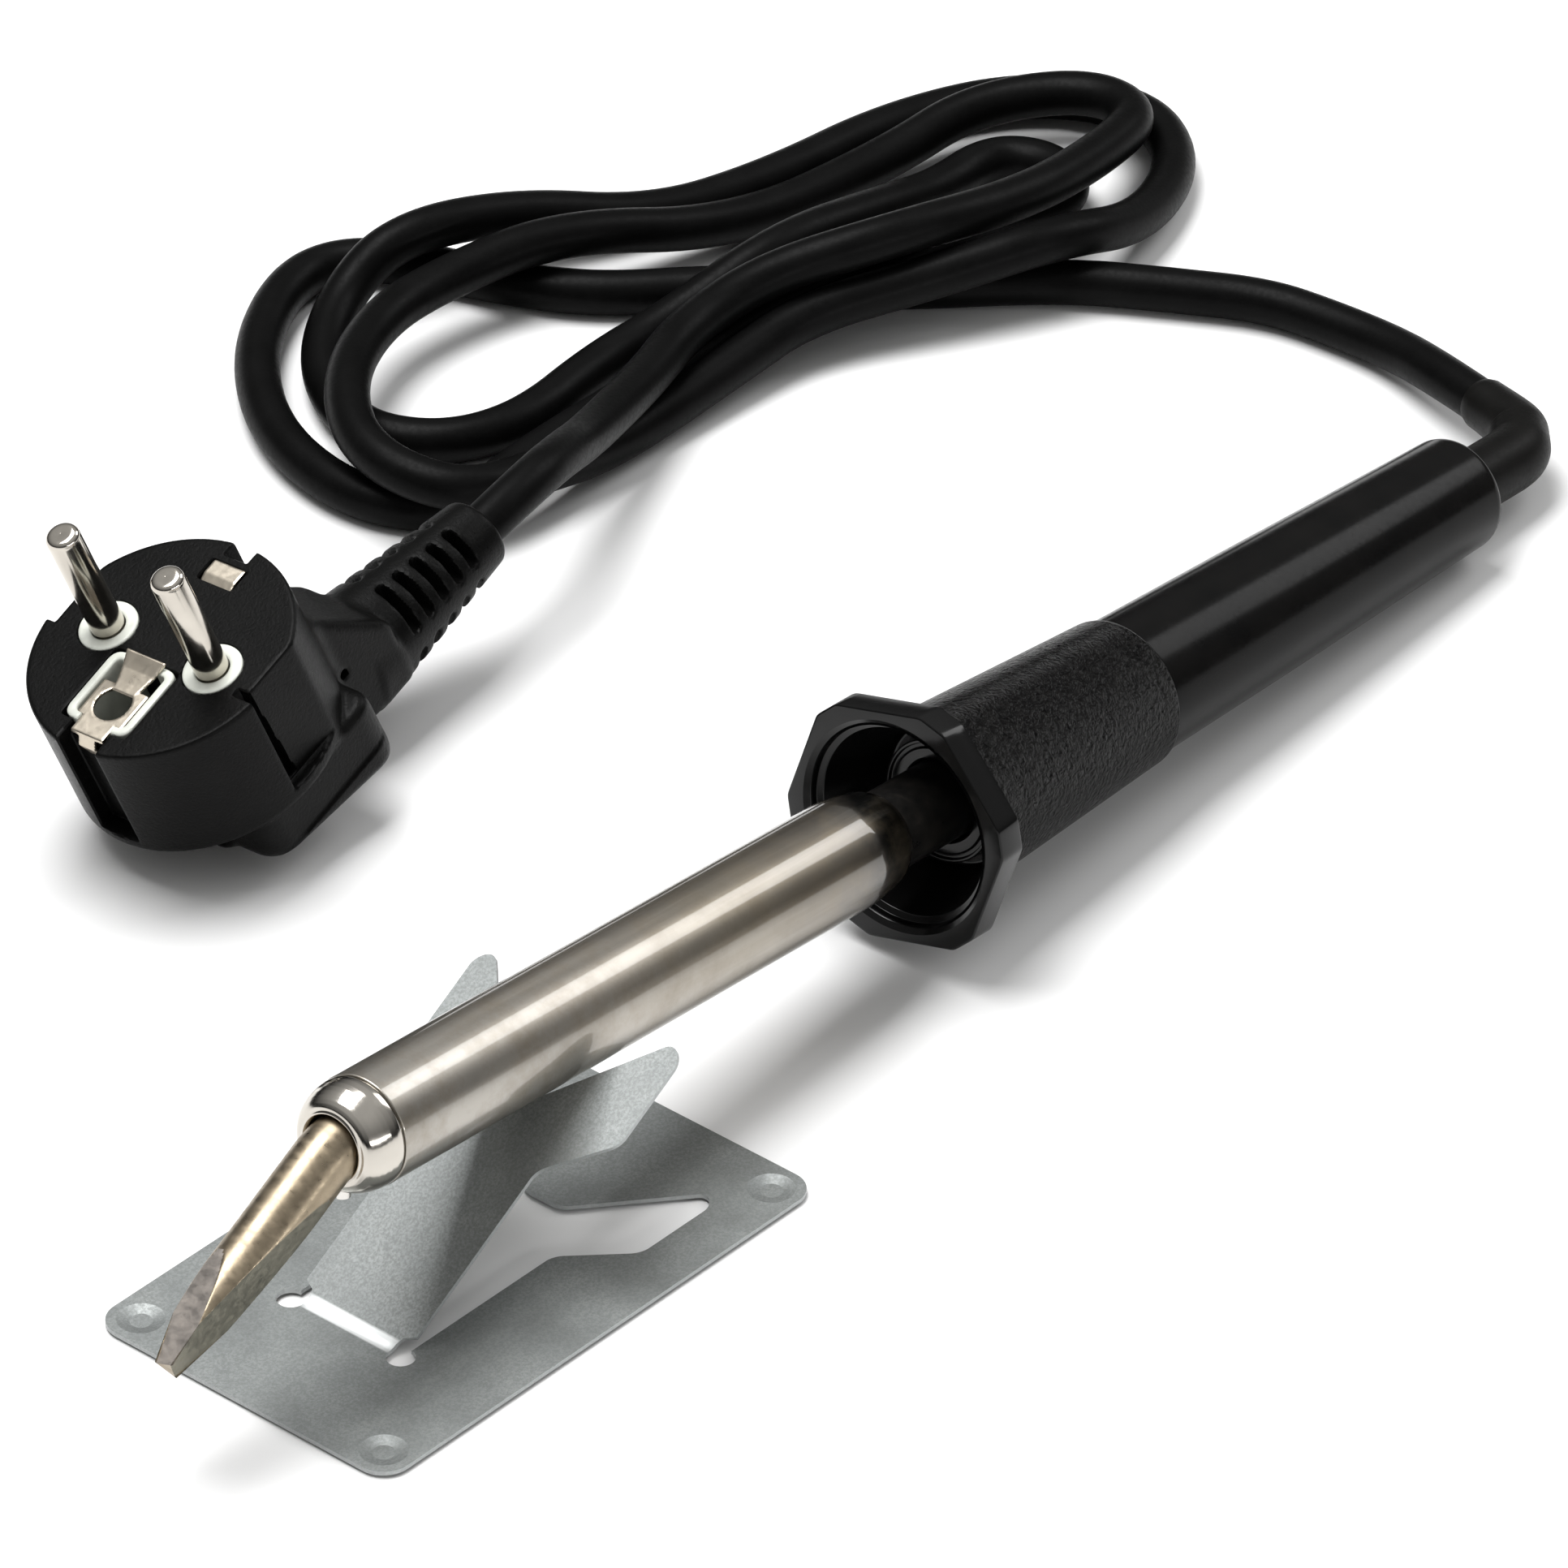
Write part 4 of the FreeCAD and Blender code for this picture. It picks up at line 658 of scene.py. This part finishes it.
def bent_tip():
    """Rod, bend and ground facets: each facet holds the ring's points under its plane."""
    radius, bend, turn_radius, mouth, straight = TIP_RADIUS, TIP_BEND, 10.0, -2.4, TIP_STRAIGHT
    stations = [(Vector((a, 0, 0)), Vector((-1, 0, 0)), -1.0) for a in (58.0, 20.0, 0.0)]
    for k in range(13):
        t = bend * k / 12
        spot = Vector((mouth - turn_radius * math.sin(t), 0, -turn_radius * (1 - math.cos(t))))
        stations.append((spot, Vector((-math.cos(t), 0, -math.sin(t))), -1.0))
    elbow, along = stations[-1][:2]
    for k in range(1, 65):
        stations.append((elbow + along * straight * k / 64, along, straight * k / 64))
    rings = []
    side = Vector((0, 1, 0))
    for spot, heading, gone in stations:
        above = side.cross(heading)
        ring = []
        for k in range(216):
            t = 2 * math.pi * k / 216
            out = side * math.cos(t) * radius + above * math.sin(t) * radius
            for _ in range(2):
                for facing, begins, left, _ in FACETS:
                    facet = side * math.cos(math.radians(facing)) + above * math.sin(math.radians(facing))
                    limit = radius - (radius - left) * max(0.0, gone - begins) / (straight - begins)
                    over = out.dot(facet) - limit
                    if gone > begins and over > 0:
                        out = out - facet * over
            ring.append(spot + out)
        rings.append(ring)
    return loft("tip", rings, "tip", IRON, sharp=24)


def grind(piece):
    """Give the faces that lie on the ground facets their own finish: a darker copy of the ground metal as
    painted shade, or a paler copy as painted light.
    """
    piece.data.materials.append(GROUND_PAINTED_SHADE)
    piece.data.materials.append(GROUND_PAINTED_LIGHT)
    heading = Vector((-math.cos(TIP_BEND), 0, -math.sin(TIP_BEND)))
    side = Vector((0, 1, 0))
    above = side.cross(heading)
    for facing, begins, left, material in FACETS:
        turn = math.radians(facing)
        slope = math.atan2(TIP_RADIUS - left, TIP_STRAIGHT - begins)
        out = side * math.cos(turn) + above * math.sin(turn)
        normal = IRON_TURN @ (out * math.cos(slope) + heading * math.sin(slope))
        for face in piece.data.polygons:
            if face.normal.dot(normal) > 0.9985:
                face.material_index = material


tip = bent_tip()
grind(tip)
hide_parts("soldering_tip")
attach(tip, "tip")


# ------------------------------------------------------------------ grip and rear handle
FLANGE_AT, FLANGE_THICK, FLANGE_TURN = 109.4, 4.5, math.radians(46.0)
FLAT_WIDE, FLAT_CORNER, CORNER_POWER = 16.66, 18.03, 160


def flange_edge(angle):
    """Radius of the six-sided flange with its six corners cut off and their ends slightly softened."""
    pull = 0.0
    for k in range(12):
        away = math.cos(angle - FLANGE_TURN - math.radians(30 * k))
        if away > 0:
            pull += (away / (FLAT_CORNER if k % 2 == 0 else FLAT_WIDE)) ** CORNER_POWER
    return pull ** (-1 / CORNER_POWER)


def grip_piece():
    """The open bowl, the flange round it and the tapered grip behind, as one turned skin."""
    at = FLANGE_AT
    inner = rounded([(127.0, 8.6), (127.0, 5.9), (at + 9.5, 5.9, 0.4), (at + 9.5, 7.5, 0.15),
                     (at + 9.9, 7.7, 0.1), (at + 9.9, 8.2, 0.1), (at + 9.4, 8.35, 0.1),
                     (at + 9.4, 8.8, 0.2), (at + 12.5, 8.8, 0.3), (at + 12.5, 10.3, 0.8),
                     (at + 2.0, 13.4, 0.3), (at + 1.6, 14.25, 0.2), (at, 14.5, 0.35)], 0.2, 4)
    rings = [ring_of(p.x, lambda t, r=p.y: r) for p in inner]
    rings.append(ring_of(at, lambda t: 15.3))
    for inset, along in ((0.36, 0.0), (0.14, 0.05), (0.03, 0.16), (0.0, 0.36)):
        rings.append(ring_of(at + along, lambda t, d=inset: flange_edge(t) - d))
    for inset, along in ((0.0, 0.5), (0.08, 0.2), (0.3, 0.04), (0.8, 0.0)):
        rings.append(ring_of(at + FLANGE_THICK - along, lambda t, d=inset: flange_edge(t) - d))
    outer = rounded([(at + 4.5, 13.6), (at + 4.7, 13.1, 0.3), (at + 7.5, 12.75, 2), (158.1, 10.75, 0.5),
                     (158.1, 8.25, 0.1), (167.0, 8.15, 0.3), (167.0, 6.7), (156.0, 6.7),
                     (156.0, 8.6)], 0.3, 4)
    rings += [ring_of(p.x, lambda t, r=p.y: r) for p in outer]
    return loft("grip", rings, "grip", GRIP, closed=True, sharp=34)


grip = grip_piece()
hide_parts("front_grip")
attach(grip, "iron")

handle = lathe("handle", [
    (158.2, 8.25), (158.2, 10.1, 0.5), (190.0, 9.42, 20), (HANDLE_END, 8.2, 1.8), (HANDLE_END, 4.2, 0.6),
    (HANDLE_END - 4.0, 4.2), (HANDLE_END - 4.0, 6.3), (167.2, 7.4), (167.2, 8.25)], "handle", GRIP, steps=8)
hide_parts("rear_handle")
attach(handle, "iron")


# ------------------------------------------------------------------ the plug
# In the plug's own axes e runs towards the lead, y across both pins and p along them.
NECK_HALF, BOOT_FROM, BOOT_DEEP, BOOT_TILT, BOOT_LEN = 8.4, 28.4, 30.6, math.radians(8.2), 24.8
PIN_CENTRES = (-9.5, 9.5)
SLOT_ROWS = [4.2 + 3.5 * k for k in range(5)]


def boot_frame(e, y, p):
    """Distance along the boot, distance from its axis and angle round it."""
    along = (e - BOOT_FROM) * math.cos(BOOT_TILT) - (p + BOOT_DEEP) * math.sin(BOOT_TILT)
    up = (e - BOOT_FROM) * math.sin(BOOT_TILT) + (p + BOOT_DEEP) * math.cos(BOOT_TILT)
    return along, np.hypot(up, y), np.arctan2(y, up)


def moulding(e, y, p):
    """The whole moulding: skirt, slab, neck and slotted boot, less its recesses."""
    skirt = meet(meet(np.hypot(e, y) - 19.0, p, 0.5), -20.2 - p, 0.8)
    corner = (np.abs(y) + np.abs(e - 3.4)) * math.sqrt(0.5) - 20.2
    wide = 17.2 + 0.35 * np.clip((-27.0 - p) / 0.4, 0, 1)
    depth = hull(e, p, [(-9.6, -27.4), (16.3, -31.6), (16.3, -19.4), (-9.6, -19.4)], 2.4)
    slab = meet(meet(np.abs(y) - wide, corner, 2.0), depth, 1.6)
    ridge = hull(e, p, [(-10.0, -29.4), (0.0, -32.9), (19.0, -33.9), (BOOT_FROM + 0.6, -36.2),
                        (BOOT_FROM + 0.6, -23.0), (-10.0, -26.5)], 1.0)
    shoulder = hull(e, p, [(6.0, -31.0), (BOOT_FROM + 0.6, -31.0), (BOOT_FROM + 0.6, -22.9),
                           (18.0, -10.8), (10.0, -6.0), (6.0, -6.0)], 1.0)
    neck = meet(join(ridge, shoulder, 0.5), np.abs(y) - NECK_HALF, 1.6)
    along, radial, angle = boot_frame(e, y, p)
    radius = 8.15 - 2.9 * np.clip(along / BOOT_LEN, -0.3, 1)
    boot = meet(radial - radius, box((along,), (-5.0,), (BOOT_LEN,)), 0.9)
    for row in SLOT_ROWS:
        quarter = np.abs(np.mod(angle, math.pi / 2) - math.pi / 4) * radial
        beyond = np.maximum(quarter - (math.radians(33.0) * radial - 0.85), 0)
        slot = meet(np.hypot(beyond, along - row) - 0.85, radius - 3.4 - radial)
        boot = cut(boot, slot, 0.35)
    whole = join(join(skirt, slab, 0.8), neck, 2.2)
    whole = join(whole, boot, 0.8)
    flat = box((e, p, np.abs(y)), (-2.5, -18.0, 17.2), (12.0, 9.0, 30.0))
    groove = box((e, p, -y), (-2.5, -17.5, 15.2), (-1.3 + 0.07 * -p, 9.0, 30.0))
    whole = cut(whole, join(flat, groove), 0.3)
    whole = cut(whole, box((e, y, p), (-30.0, -3.4, -18.5), (-16.2, 3.4, 9.0)), 0.3)
    whole = cut(whole, box((e, y, p), (16.6, -2.0, -12.0), (30.0, 2.0, 9.0)), 0.3)
    whole = cut(whole, box((e, y, p), (11.8, -3.1, -0.9), (15.4, 3.1, 9.0), 0.3), 0.15)
    whole = cut(whole, box((e, y, p), (-16.5, -3.4, -1.5), (-14.0, 3.4, 9.0)), 0.15)
    whole = cut(whole, box((e, y, p), (-14.9, -5.9, -11.5), (-2.5, 5.9, 9.0), 1.0), 0.1)
    for centre in PIN_CENTRES:
        whole = cut(whole, meet(np.hypot(e, y - centre) - 4.35, -11.5 - p), 0.1)
    pip = meet(np.hypot(e - 18.7, p + 22.6) - 0.75, np.abs(y + NECK_HALF) - 2.0)
    return cut(whole, pip, 0.3)


plug = skin("plug", moulding, (-20.0, -20.0, -37.5), (55.0, 20.0, 1.0), 0.36, "plug", PLUG)
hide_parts("plug_body")
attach(plug, "stand")


def carrier(e, y, p):
    """Pale collars round both pins and a frame round the earth socket."""
    frame = box((e, y), (-14.7, -5.7), (-2.7, 5.7), 2.0)
    frame = cut(frame, box((e, y), (-13.5, -4.4), (-3.9, 4.4), 1.0), 0.2)
    frame = cut(frame, box((e, y), (-16.0, -2.9), (-12.0, 2.9)), 0.3)
    solid = cut(frame, box((e, y), (-6.0, -2.2), (-1.0, 3.2)), 0.3)
    for centre in PIN_CENTRES:
        ring = meet(np.hypot(e, y - centre) - 4.25, 2.45 - np.hypot(e, y - centre), 0.3)
        solid = np.minimum(solid, ring)
    return meet(solid, box((p,), (-11.0,), (0.15,)), 0.4)


insert = skin("insert", carrier, (-15.5, -14.5, -11.5), (5.0, 14.5, 0.8), 0.22, "insert", PLUG)
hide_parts("plug_insert")
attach(insert, "stand")


def strips(e, y, p):
    """Both ends of the earth strip: the socket plate with its flap, and the side springs."""
    leg = near_line(e, p, [(-15.6, -5.5), (-16.9, -2.0), (-16.1, -0.45), (-7.6, -0.45)]) - 0.24
    half = 2.9 + 1.1 * (np.abs(e + 10.2) < 3.3)
    leg = meet(leg, np.abs(y) - np.where(p < -0.8, 1.5, half), 0.2)
    leg = meet(leg, 2.75 - np.hypot(e + 10.5, y), 0.1)
    flap = near_line(e, p, [(-8.2, -0.45), (-6.8, -0.35), (-4.8, 0.0), (-2.7, 0.8)]) - 0.24
    flap = meet(flap, np.abs(y + 0.1) - (2.0 + 0.28 * (e + 8.0)), 0.2)
    bar = near_line(e, p, [(11.9, -0.7), (13.2, -0.25), (15.2, -0.3), (16.9, -1.4), (17.1, -16.0)]) - 0.24
    bar = meet(bar, np.abs(y) - 2.8 + 1.2 * (e > 16.0), 0.2)
    return np.minimum(np.minimum(leg, flap), bar)


contact = skin("contact", strips, (-18.0, -4.5, -16.8), (18.0, 4.5, 4.2), 0.2, "contact", PLUG)
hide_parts("earth_contact")
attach(contact, "stand")


def pin_piece():
    """Two round pins with domed ends, skinned as one piece."""
    bm = bmesh.new()
    outline = rounded([(-10.0, 0.001), (-10.0, 2.2, 0.1), (0.3, 2.2, 0.05), (0.3, 2.4, 0.05),
                       (19.0, 2.4, 2.2), (19.0, 0.001)], 0.1, 10)
    for centre in PIN_CENTRES:
        rows = []
        for spot in outline:
            rows.append([bm.verts.new(PLUG @ Vector((spot.y * math.cos(2 * math.pi * k / 64),
                                                     centre + spot.y * math.sin(2 * math.pi * k / 64),
                                                     spot.x))) for k in range(64)])
        for first, second in zip(rows, rows[1:]):
            for k in range(64):
                bm.faces.new((first[k], first[(k + 1) % 64], second[(k + 1) % 64], second[k]))
        bm.faces.new(rows[0])
        bm.faces.new(rows[-1])
    return finish_mesh("pins", bm, "pins", 50)


pins = pin_piece()
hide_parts("plug_pins")
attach(pins, "stand")


# ------------------------------------------------------------------ the lead
LEAD_RADIUS = 3.25
SLEEVE_TURN = [(234.0, 13.4, 7.2), (236.4, 22.0, 6.6)]
LEAD_ROUTE = [
    (125.5, 95.5, 20.5), (136.5, 100.5, 16), (158.5, 109, 11.5), (172.5, 114.5, 10.5), (188.5, 113.5, 12.5),
    (203, 102, 17), (226, 97.5, 14), (247, 100.5, 10.5), (261.5, 104.5, 9), (262, 116, 8.5),
    (249.5, 127, 7), (233, 129, 4.5), (205.5, 134, 3.5), (180, 144.5, 11), (162, 149.5, 10),
    (147, 149.5, 10), (129.5, 140.5, 11.5), (118.5, 126.5, 11), (121, 111, 9.5), (134.5, 108.5, 7.5),
    (151, 109, 3.5), (177, 108.5, 5.5), (190.5, 107.5, 7.5), (207.5, 98, 9.5), (224, 88.5, 12.5),
    (242.5, 89, 5.5), (261.5, 97, 3.5), (270, 111, 3.5), (261.5, 127.5, 3.5), (242, 136.5, 3.5),
    (218.5, 139, 3.5), (200, 145, 3.5), (181.5, 155, 9.5), (163.5, 161, 11.5), (153, 162.5, 5.5),
    (139.5, 154.5, 3.5), (130.5, 139.5, 3.5), (135.5, 127.5, 3.5), (147.5, 122.5, 3.5), (166, 125, 3.5),
    (179.5, 123.5, 4.5), (197, 118, 12), (220.5, 118, 7), (232.5, 119, 3.5), (245, 119.5, 3.5),
    (249.5, 111.5, 3.5), (245, 103.5, 3.5), (232.5, 103.5, 5), (212, 104, 12.5), (190.5, 115, 5),
    (165, 115.5, 3.5), (144, 116, 3.5), (124.5, 114, 3.5), (117.5, 127, 3.5), (121.5, 146, 3.5),
    (134, 162, 3.5), (149.5, 171.5, 3.5), (160.5, 172.5, 3.5), (168, 164.5, 3.5), (173, 149.5, 3.5),
    (179.5, 137, 3.5), (193, 125, 3.5), (209, 106, 3.5), (226, 90, 3.5), (234.5, 76, 3.5),
    (241, 64.5, 3.5), (242.5, 54, 3.5), (242.5, 42, 4),
]


def on_bench(point):
    """A point in plate numbers as millimetres in the scene."""
    return Vector((STAND_X + point[0], point[1], point[2]))


boot_turn = PLUG_TURN @ Matrix.Rotation(BOOT_TILT, 4, "Y")
boot_root = PLUG @ Vector((BOOT_FROM, 0, -BOOT_DEEP)) / MM
BOOT_END = boot_root + boot_turn @ Vector((BOOT_LEN, 0, 0))
BOOT_SECOND = boot_root + boot_turn @ Vector((BOOT_LEN + 11.0, 0, 0))
SLEEVE_BACK, MOUTH = [on_bench(p) for p in SLEEVE_TURN]
MOUTH_NEXT = MOUTH + (MOUTH - SLEEVE_BACK).normalized() * 9


def spline_points(controls, steps):
    """Points along the smooth NURBS line with these control points, in metres."""
    curve = bpy.data.curves.new("route", "CURVE")
    curve.dimensions = "3D"
    spline = curve.splines.new("NURBS")
    spline.points.add(len(controls) - 1)
    for point, spot in zip(spline.points, controls):
        point.co = (*(Vector(spot) * MM), 1.0)
    spline.order_u = 3
    spline.use_endpoint_u = True
    spline.resolution_u = steps
    holder = bpy.data.objects.new("route", curve)
    bpy.context.scene.collection.objects.link(holder)
    line = bpy.data.meshes.new_from_object(holder)
    points = [v.co.copy() for v in line.vertices]
    bpy.data.objects.remove(holder)
    bpy.data.curves.remove(curve)
    bpy.data.meshes.remove(line)
    return points


def sweep(name, path, radius_at, slot, segments, sharp=50):
    """A round skin along points; radius_at gives millimetres from the distance in mm."""
    rings = []
    normal = None
    travelled = 0.0
    for i, spot in enumerate(path):
        ahead = path[min(i + 1, len(path) - 1)]
        behind = path[max(i - 1, 0)]
        if i:
            travelled += (spot - path[i - 1]).length
        tangent = (ahead - behind).normalized()
        if normal is None:
            normal = tangent.cross(Vector((0, 0, 1))).normalized()
        normal = (normal - tangent * normal.dot(tangent)).normalized()
        side = tangent.cross(normal)
        radius = radius_at(travelled / MM) * MM
        rings.append([spot + (normal * math.cos(2 * math.pi * k / segments)
                              + side * math.sin(2 * math.pi * k / segments)) * radius
                      for k in range(segments)])
    return loft(name, rings, slot, Matrix.Identity(4), closed=False, sharp=sharp)


lead_controls = [MOUTH, MOUTH_NEXT] + [on_bench(p) for p in reversed(LEAD_ROUTE)]
lead_controls += [BOOT_SECOND, BOOT_END]
lead_path = spline_points(lead_controls, 12)
lead = sweep("lead", lead_path, lambda s: LEAD_RADIUS, "lead", 36)

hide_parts("power_lead")
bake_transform(lead)


# ------------------------------------------------------------------ the sleeve behind the handle
corner = GRIP @ Vector((HANDLE_END + 14.6, 0, 0)) / MM
sleeve_start = GRIP @ Vector((HANDLE_END - 8.0, 0, 0)) / MM
bend_in, bend_out = corner.lerp(sleeve_start, 0.32), corner.lerp(SLEEVE_BACK, 0.5)
sleeve_path = spline_points([sleeve_start, bend_in, corner, bend_out, SLEEVE_BACK, MOUTH], 14)
sleeve_long = sum((b - a).length for a, b in zip(sleeve_path, sleeve_path[1:])) / MM


def sleeve_radius(gone):
    """Full at the handle, slimmer past the bend, with a soft rim where the lead comes out."""
    rim = 0.3 * smoothstep(sleeve_long - 0.8, sleeve_long, gone)
    swell = 0.5 * smoothstep(8.2, 9.6, gone) * (1 - smoothstep(20.0, sleeve_long, gone))
    return 4.1 + swell - 0.3 * smoothstep(22.0, sleeve_long, gone) - rim


sleeve = sweep("sleeve", sleeve_path, sleeve_radius, "sleeve", 48)
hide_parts("lead_sleeve")
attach(sleeve, "iron")


# ------------------------------------------------------------------ camera, floor, light
LOOK = Vector((STAND_X + 108.1, 39.5, 0)) * MM
AZIMUTH, ELEVATION, DISTANCE = -48.85, 34.43, 1.790
az, el = math.radians(AZIMUTH), math.radians(ELEVATION)
back = Vector((math.sin(az) * math.cos(el), -math.cos(az) * math.cos(el), math.sin(el)))
camera_data = bpy.data.cameras.new("camera")
camera_data.sensor_width = 36.0
camera_data.lens = 304.25
camera_data.clip_end = 20.0
camera = bpy.data.objects.new("camera", camera_data)
camera.location = LOOK + back * DISTANCE
camera.rotation_euler = (-back).to_track_quat("-Z", "Y").to_euler()
bpy.context.scene.collection.objects.link(camera)
bpy.context.scene.camera = camera

floor_material = Finish("pale_floor", (0.88, 0.88, 0.88), 0.9).mat
bm = bmesh.new()
bmesh.ops.create_grid(bm, x_segments=1, y_segments=1, size=3.0)
floor_mesh = bpy.data.meshes.new("floor")
bm.to_mesh(floor_mesh)
bm.free()
floor_mesh.materials.append(floor_material)
floor = bpy.data.objects.new("floor", floor_mesh)
bpy.context.scene.collection.objects.link(floor)

world = bpy.data.worlds.new("studio")
bpy.context.scene.world = world
world.use_nodes = True
tree = world.node_tree
sky = tree.nodes["Background"]
height = tree.nodes.new("ShaderNodeSeparateXYZ")
tree.links.new(tree.nodes.new("ShaderNodeTexCoord").outputs["Generated"], height.inputs[0])
shade = tree.nodes.new("ShaderNodeValToRGB")
shade.color_ramp.elements[0].color = (0.03, 0.03, 0.03, 1.0)
shade.color_ramp.elements[0].position = 0.12
shade.color_ramp.elements[1].color = (1.0, 1.0, 0.99, 1.0)
shade.color_ramp.elements[1].position = 0.85
tree.links.new(height.outputs["Z"], shade.inputs["Fac"])
tree.links.new(shade.outputs["Color"], sky.inputs["Color"])
sky.inputs["Strength"].default_value = 0.52


def softbox(name, spot, target, size, power):
    data = bpy.data.lights.new(name, "AREA")
    data.shape = "RECTANGLE"
    data.size, data.size_y = size
    data.energy = power
    lamp = bpy.data.objects.new(name, data)
    lamp.location = spot
    lamp.rotation_euler = (Vector(target) - Vector(spot)).to_track_quat("-Z", "Y").to_euler()
    bpy.context.scene.collection.objects.link(lamp)


softbox("key", (-0.06, 0.35, 1.12), (0, 0.05, 0), (0.9, 0.6), 17)
softbox("fill", (1.0, -0.2, 0.8), (0, 0.05, 0), (0.5, 0.7), 4)
softbox("front_strip", (-0.25, -1.20, 0.27), (0, 0, 0.02), (1.3, 0.07), 4.5)
bpy.context.scene.view_settings.view_transform = "Standard"
